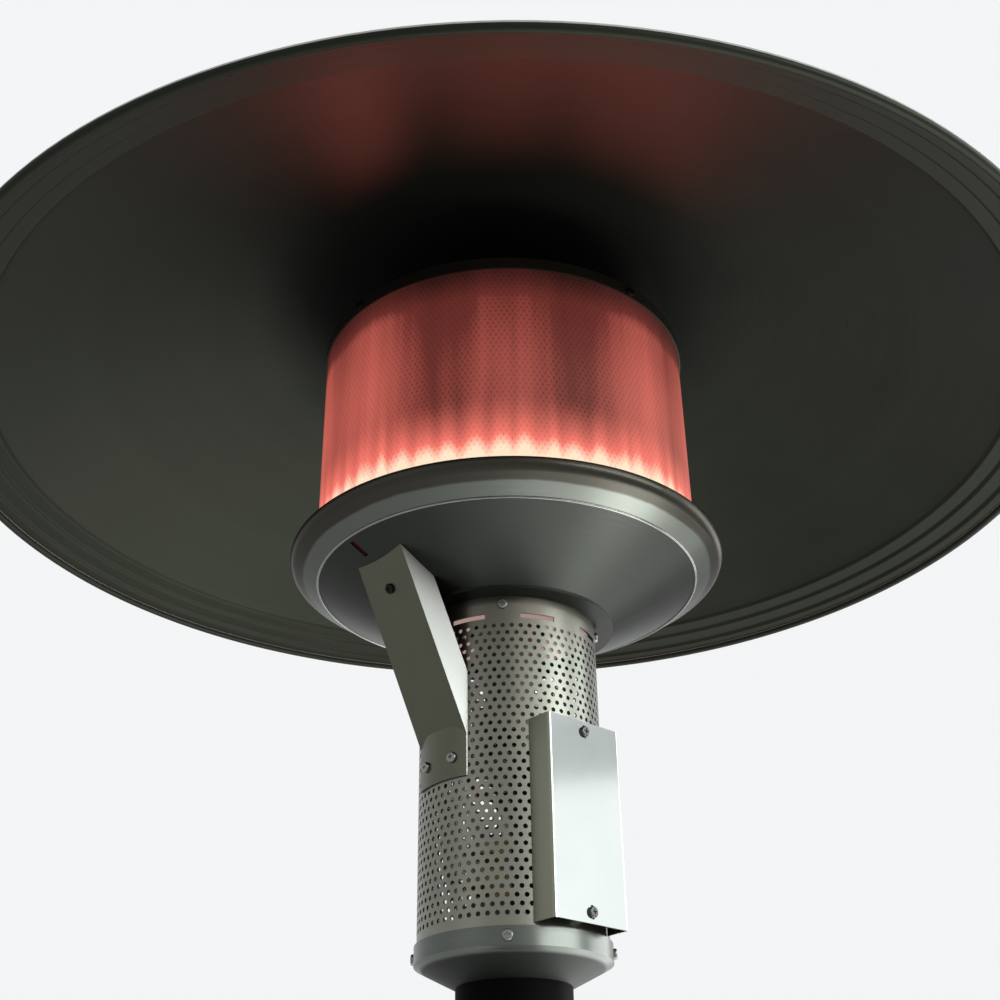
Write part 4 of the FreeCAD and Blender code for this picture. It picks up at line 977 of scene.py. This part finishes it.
class HEATER_OT_burner(bpy.types.Operator):
    """Finishes the burner, its air shutter and the pilot parts"""

    bl_idname = "heater.burner"
    bl_label = "Burner and pilot"

    def execute(self, context):
        colours = context.scene.heater_colours
        burnt = plated("burnt_steel", colours.burnt, roughness=0.48)
        give(burnt, "burner_tube", "burner_head", "burner_lid", "air_shutter", "screen_screws")
        black = plated("burnt_screws", scaled(colours.burnt, 0.10), roughness=0.60)
        give(black, "cap_screws", "reflector_spacers")
        pilot = plated("pilot_steel", scaled(colours.burnt, 1.5), roughness=0.40)
        give(pilot, "pilot_burner", "thermocouple")
        ceramic = moulded("glazed_ceramic", colours.ceramic, roughness=0.32, grain=260.0, depth=0.04)
        give(ceramic, "spark_electrode")
        rubber = moulded("lead_rubber", colours.rubber, roughness=0.55, grain=700.0, depth=0.10)
        give(rubber, "ignition_lead")
        return {"FINISHED"}


class HEATER_OT_gas_line(bpy.types.Operator):
    """Finishes the gas pipes, valve and fittings"""

    bl_idname = "heater.gas_line"
    bl_label = "Gas line"

    def execute(self, context):
        colours = context.scene.heater_colours
        pipe = plated("drawn_pipe", colours.pipe, roughness=0.32)
        give(pipe, "supply_pipe", "burner_riser", "pilot_tube")
        brass = plated("brass", colours.brass, roughness=0.30)
        give(brass, "gas_valve", "valve_stem", "main_orifice", "inlet_nut", "inlet_coupling", "line_nuts")
        return {"FINISHED"}


class HEATER_OT_controls(bpy.types.Operator):
    """Finishes the knob, buttons and igniter"""

    bl_idname = "heater.controls"
    bl_label = "Controls"

    def execute(self, context):
        colours = context.scene.heater_colours
        black = moulded("control_plastic", colours.knob, roughness=0.42, grain=1100.0, depth=0.14)
        give(black, "control_knob", "igniter_button", "igniter_body")
        red = moulded("reset_plastic", colours.reset, roughness=0.36, grain=1100.0, depth=0.10)
        give(red, "reset_button")
        return {"FINISHED"}


class HEATER_OT_fasteners(bpy.types.Operator):
    """Finishes the screws, nuts, studs and washers"""

    bl_idname = "heater.fasteners"
    bl_label = "Fasteners"

    def execute(self, context):
        colours = context.scene.heater_colours
        bright = plated("zinc_plate", colours.zinc, roughness=0.30)
        give(bright, "post_bolts", "pan_bolts", "pan_nuts", "cover_standoffs", "igniter_nut")
        give(bright, "reflector_studs", "reflector_washers", "reflector_wing_nuts")
        dark = plated("dark_plate", scaled(colours.zinc, 0.35), roughness=0.36)
        give(dark, "housing_screws_lower", "housing_screws_upper")
        # The cover's screws: a dark copy of the zinc plate as painted shade.
        give(plated("blackened_plate", scaled(colours.zinc, 0.15), roughness=0.40), "cover_screws")
        give(channel_plating(colours), "channel_screws")
        return {"FINISHED"}


class HEATER_OT_post(bpy.types.Operator):
    """Finishes the upper end of the post"""

    bl_idname = "heater.post"
    bl_label = "Post"

    def execute(self, context):
        shade = context.scene.heater_colours.post
        paint = moulded("post_paint", shade, roughness=0.55, grain=420.0, depth=0.12, gloss=0.02)
        give(paint, "post_tube")
        return {"FINISHED"}


def area_lamp(name, watts, width, height, place, aim, shade):
    """Soft rectangular lamp at a place, aimed at a point."""
    lamp = bpy.data.lights.new(name, "AREA")
    lamp.shape = "RECTANGLE"
    lamp.size = width
    lamp.size_y = height
    lamp.energy = watts
    lamp.color = shade
    stand = bpy.data.objects.new(name, lamp)
    stand.location = place
    stand.rotation_euler = (aim - place).to_track_quat("-Z", "Y").to_euler()
    stand.visible_camera = False
    bpy.context.scene.collection.objects.link(stand)
    return lamp


def seen_directly(finish):
    """1 where the camera sees a surface, also by way of metal or glass."""
    rays = finish.node("ShaderNodeLightPath").socket.node.outputs
    camera, glossy, clear = (
        Value(finish, rays[f"Is {kind} Ray"]) for kind in ("Camera", "Glossy", "Transmission")
    )
    return camera.larger(glossy).larger(clear)


class HEATER_OT_stage(bpy.types.Operator):
    """Sets up the camera, the lights, the floor and the pale backdrop"""

    bl_idname = "heater.stage"
    bl_label = "Stage"

    def execute(self, context):
        stage = context.scene.heater_stage
        context.scene.view_settings.view_transform = "Standard"
        self.add_camera(context.scene, stage)
        self.add_lamps(stage)
        self.add_floor(stage)
        self.add_backdrop(context.scene, stage)
        return {"FINISHED"}

    def add_camera(self, scene, stage):
        lens = bpy.data.cameras.new("camera")
        lens.lens = stage.lens
        camera = bpy.data.objects.new("camera", lens)
        turn = Matrix.Rotation(stage.heading, 4, "Z")
        look = Matrix.Rotation(math.pi / 2 + stage.pitch, 4, "X")
        tilt = Matrix.Rotation(stage.roll, 4, "Z")
        place = outward(stage.azimuth) * stage.distance + Vector((0, 0, stage.height))
        camera.matrix_world = Matrix.Translation(place) @ turn @ look @ tilt
        scene.collection.objects.link(camera)
        scene.camera = camera

    def add_lamps(self, stage):
        for name, width, height, azimuth, lift, reach in LAMPS:
            turn, lift = math.radians(azimuth), math.radians(lift)
            aim = outward(turn) * math.cos(lift) + Vector((0, 0, math.sin(lift)))
            shade = stage.daylight if name in COOL_LAMPS else WHITE
            watts = getattr(stage, f"{name}_power")
            area_lamp(name, watts, width, height, COVER_CENTRE + aim * reach, COVER_CENTRE, shade)
        middle = Vector((0, 0, (SCREEN_LOW.z + SCREEN_HIGH.z) / 2 + GLOW_LIFT))
        for azimuth, share in GLOW_SHARES:
            out = outward(math.radians(azimuth))
            place = out * (SCREEN_HIGH.x + GLOW_STAND_OFF) + middle
            name, watts = f"glow_{azimuth}", stage.glow_power * share
            lamp = area_lamp(name, watts, GLOW_WIDTH, GLOW_HEIGHT, place, place + out, GLOW_COLOUR)
            lamp.spread = GLOW_SPREAD

    def add_floor(self, stage):
        bm = bmesh.new()
        bmesh.ops.create_circle(bm, cap_ends=True, segments=FLOOR_SIDES, radius=FLOOR_RADIUS)
        bmesh.ops.translate(bm, verts=bm.verts, vec=(0, 0, -stage.floor_drop))
        mesh = bpy.data.meshes.new("floor")
        bm.to_mesh(mesh)
        bm.free()
        finish = new_finish("pale_floor")
        cloud = finish.noise(finish.place(), 1.4)
        finish.dress({
            "Base Color": finish.toned(cloud, stage.floor, 0.97, 1.02),
            "Roughness": 0.9,
            "Specular IOR Level": 0.1,
            "Emission Color": finish.mix(seen_directly(finish), BLACK, stage.floor_lift),
            "Emission Strength": 1.0,
        })
        mesh.materials.append(finish.owner)
        floor = bpy.data.objects.new("floor", mesh)
        bpy.context.scene.collection.objects.link(floor)

    def add_backdrop(self, scene, stage):
        scene.world = bpy.data.worlds.new("backdrop")
        room = Finish(scene.world, "Background")
        shade = room.mix(seen_directly(room), stage.ambient, stage.pale)
        room.dress({"Color": shade, "Strength": 1.0})


PIECES = (
    HEATER_OT_housing,
    HEATER_OT_reflector,
    HEATER_OT_screen,
    HEATER_OT_sheet_metal,
    HEATER_OT_pan_bead,
    HEATER_OT_burner,
    HEATER_OT_gas_line,
    HEATER_OT_controls,
    HEATER_OT_fasteners,
    HEATER_OT_post,
    HEATER_OT_stage,
)


class HEATER_PT_panel(bpy.types.Panel):
    """Lists the heater's pieces in the sidebar"""

    bl_idname = "HEATER_PT_panel"
    bl_label = "Patio heater head"
    bl_space_type = "VIEW_3D"
    bl_region_type = "UI"
    bl_category = "Heater"

    def draw(self, context):
        for piece in PIECES:
            self.layout.operator(piece.bl_idname)


SETTINGS = {
    "heater_housing": HousingSizes,
    "heater_reflector": ReflectorSizes,
    "heater_pan": PanSizes,
    "heater_colours": FinishColours,
    "heater_stage": StageSettings,
}


def register():
    for group in SETTINGS.values():
        bpy.utils.register_class(group)
    for piece in PIECES:
        bpy.utils.register_class(piece)
    bpy.utils.register_class(HEATER_PT_panel)
    for name, group in SETTINGS.items():
        setattr(bpy.types.Scene, name, PointerProperty(type=group))


def unregister():
    for name in SETTINGS:
        delattr(bpy.types.Scene, name)
    bpy.utils.unregister_class(HEATER_PT_panel)
    for piece in reversed(PIECES):
        bpy.utils.unregister_class(piece)
    for group in reversed(SETTINGS.values()):
        bpy.utils.unregister_class(group)


def main():
    register()
    for piece in PIECES:
        group, name = piece.bl_idname.split(".")
        getattr(getattr(bpy.ops, group), name)()


if __name__ == "__main__":
    main()
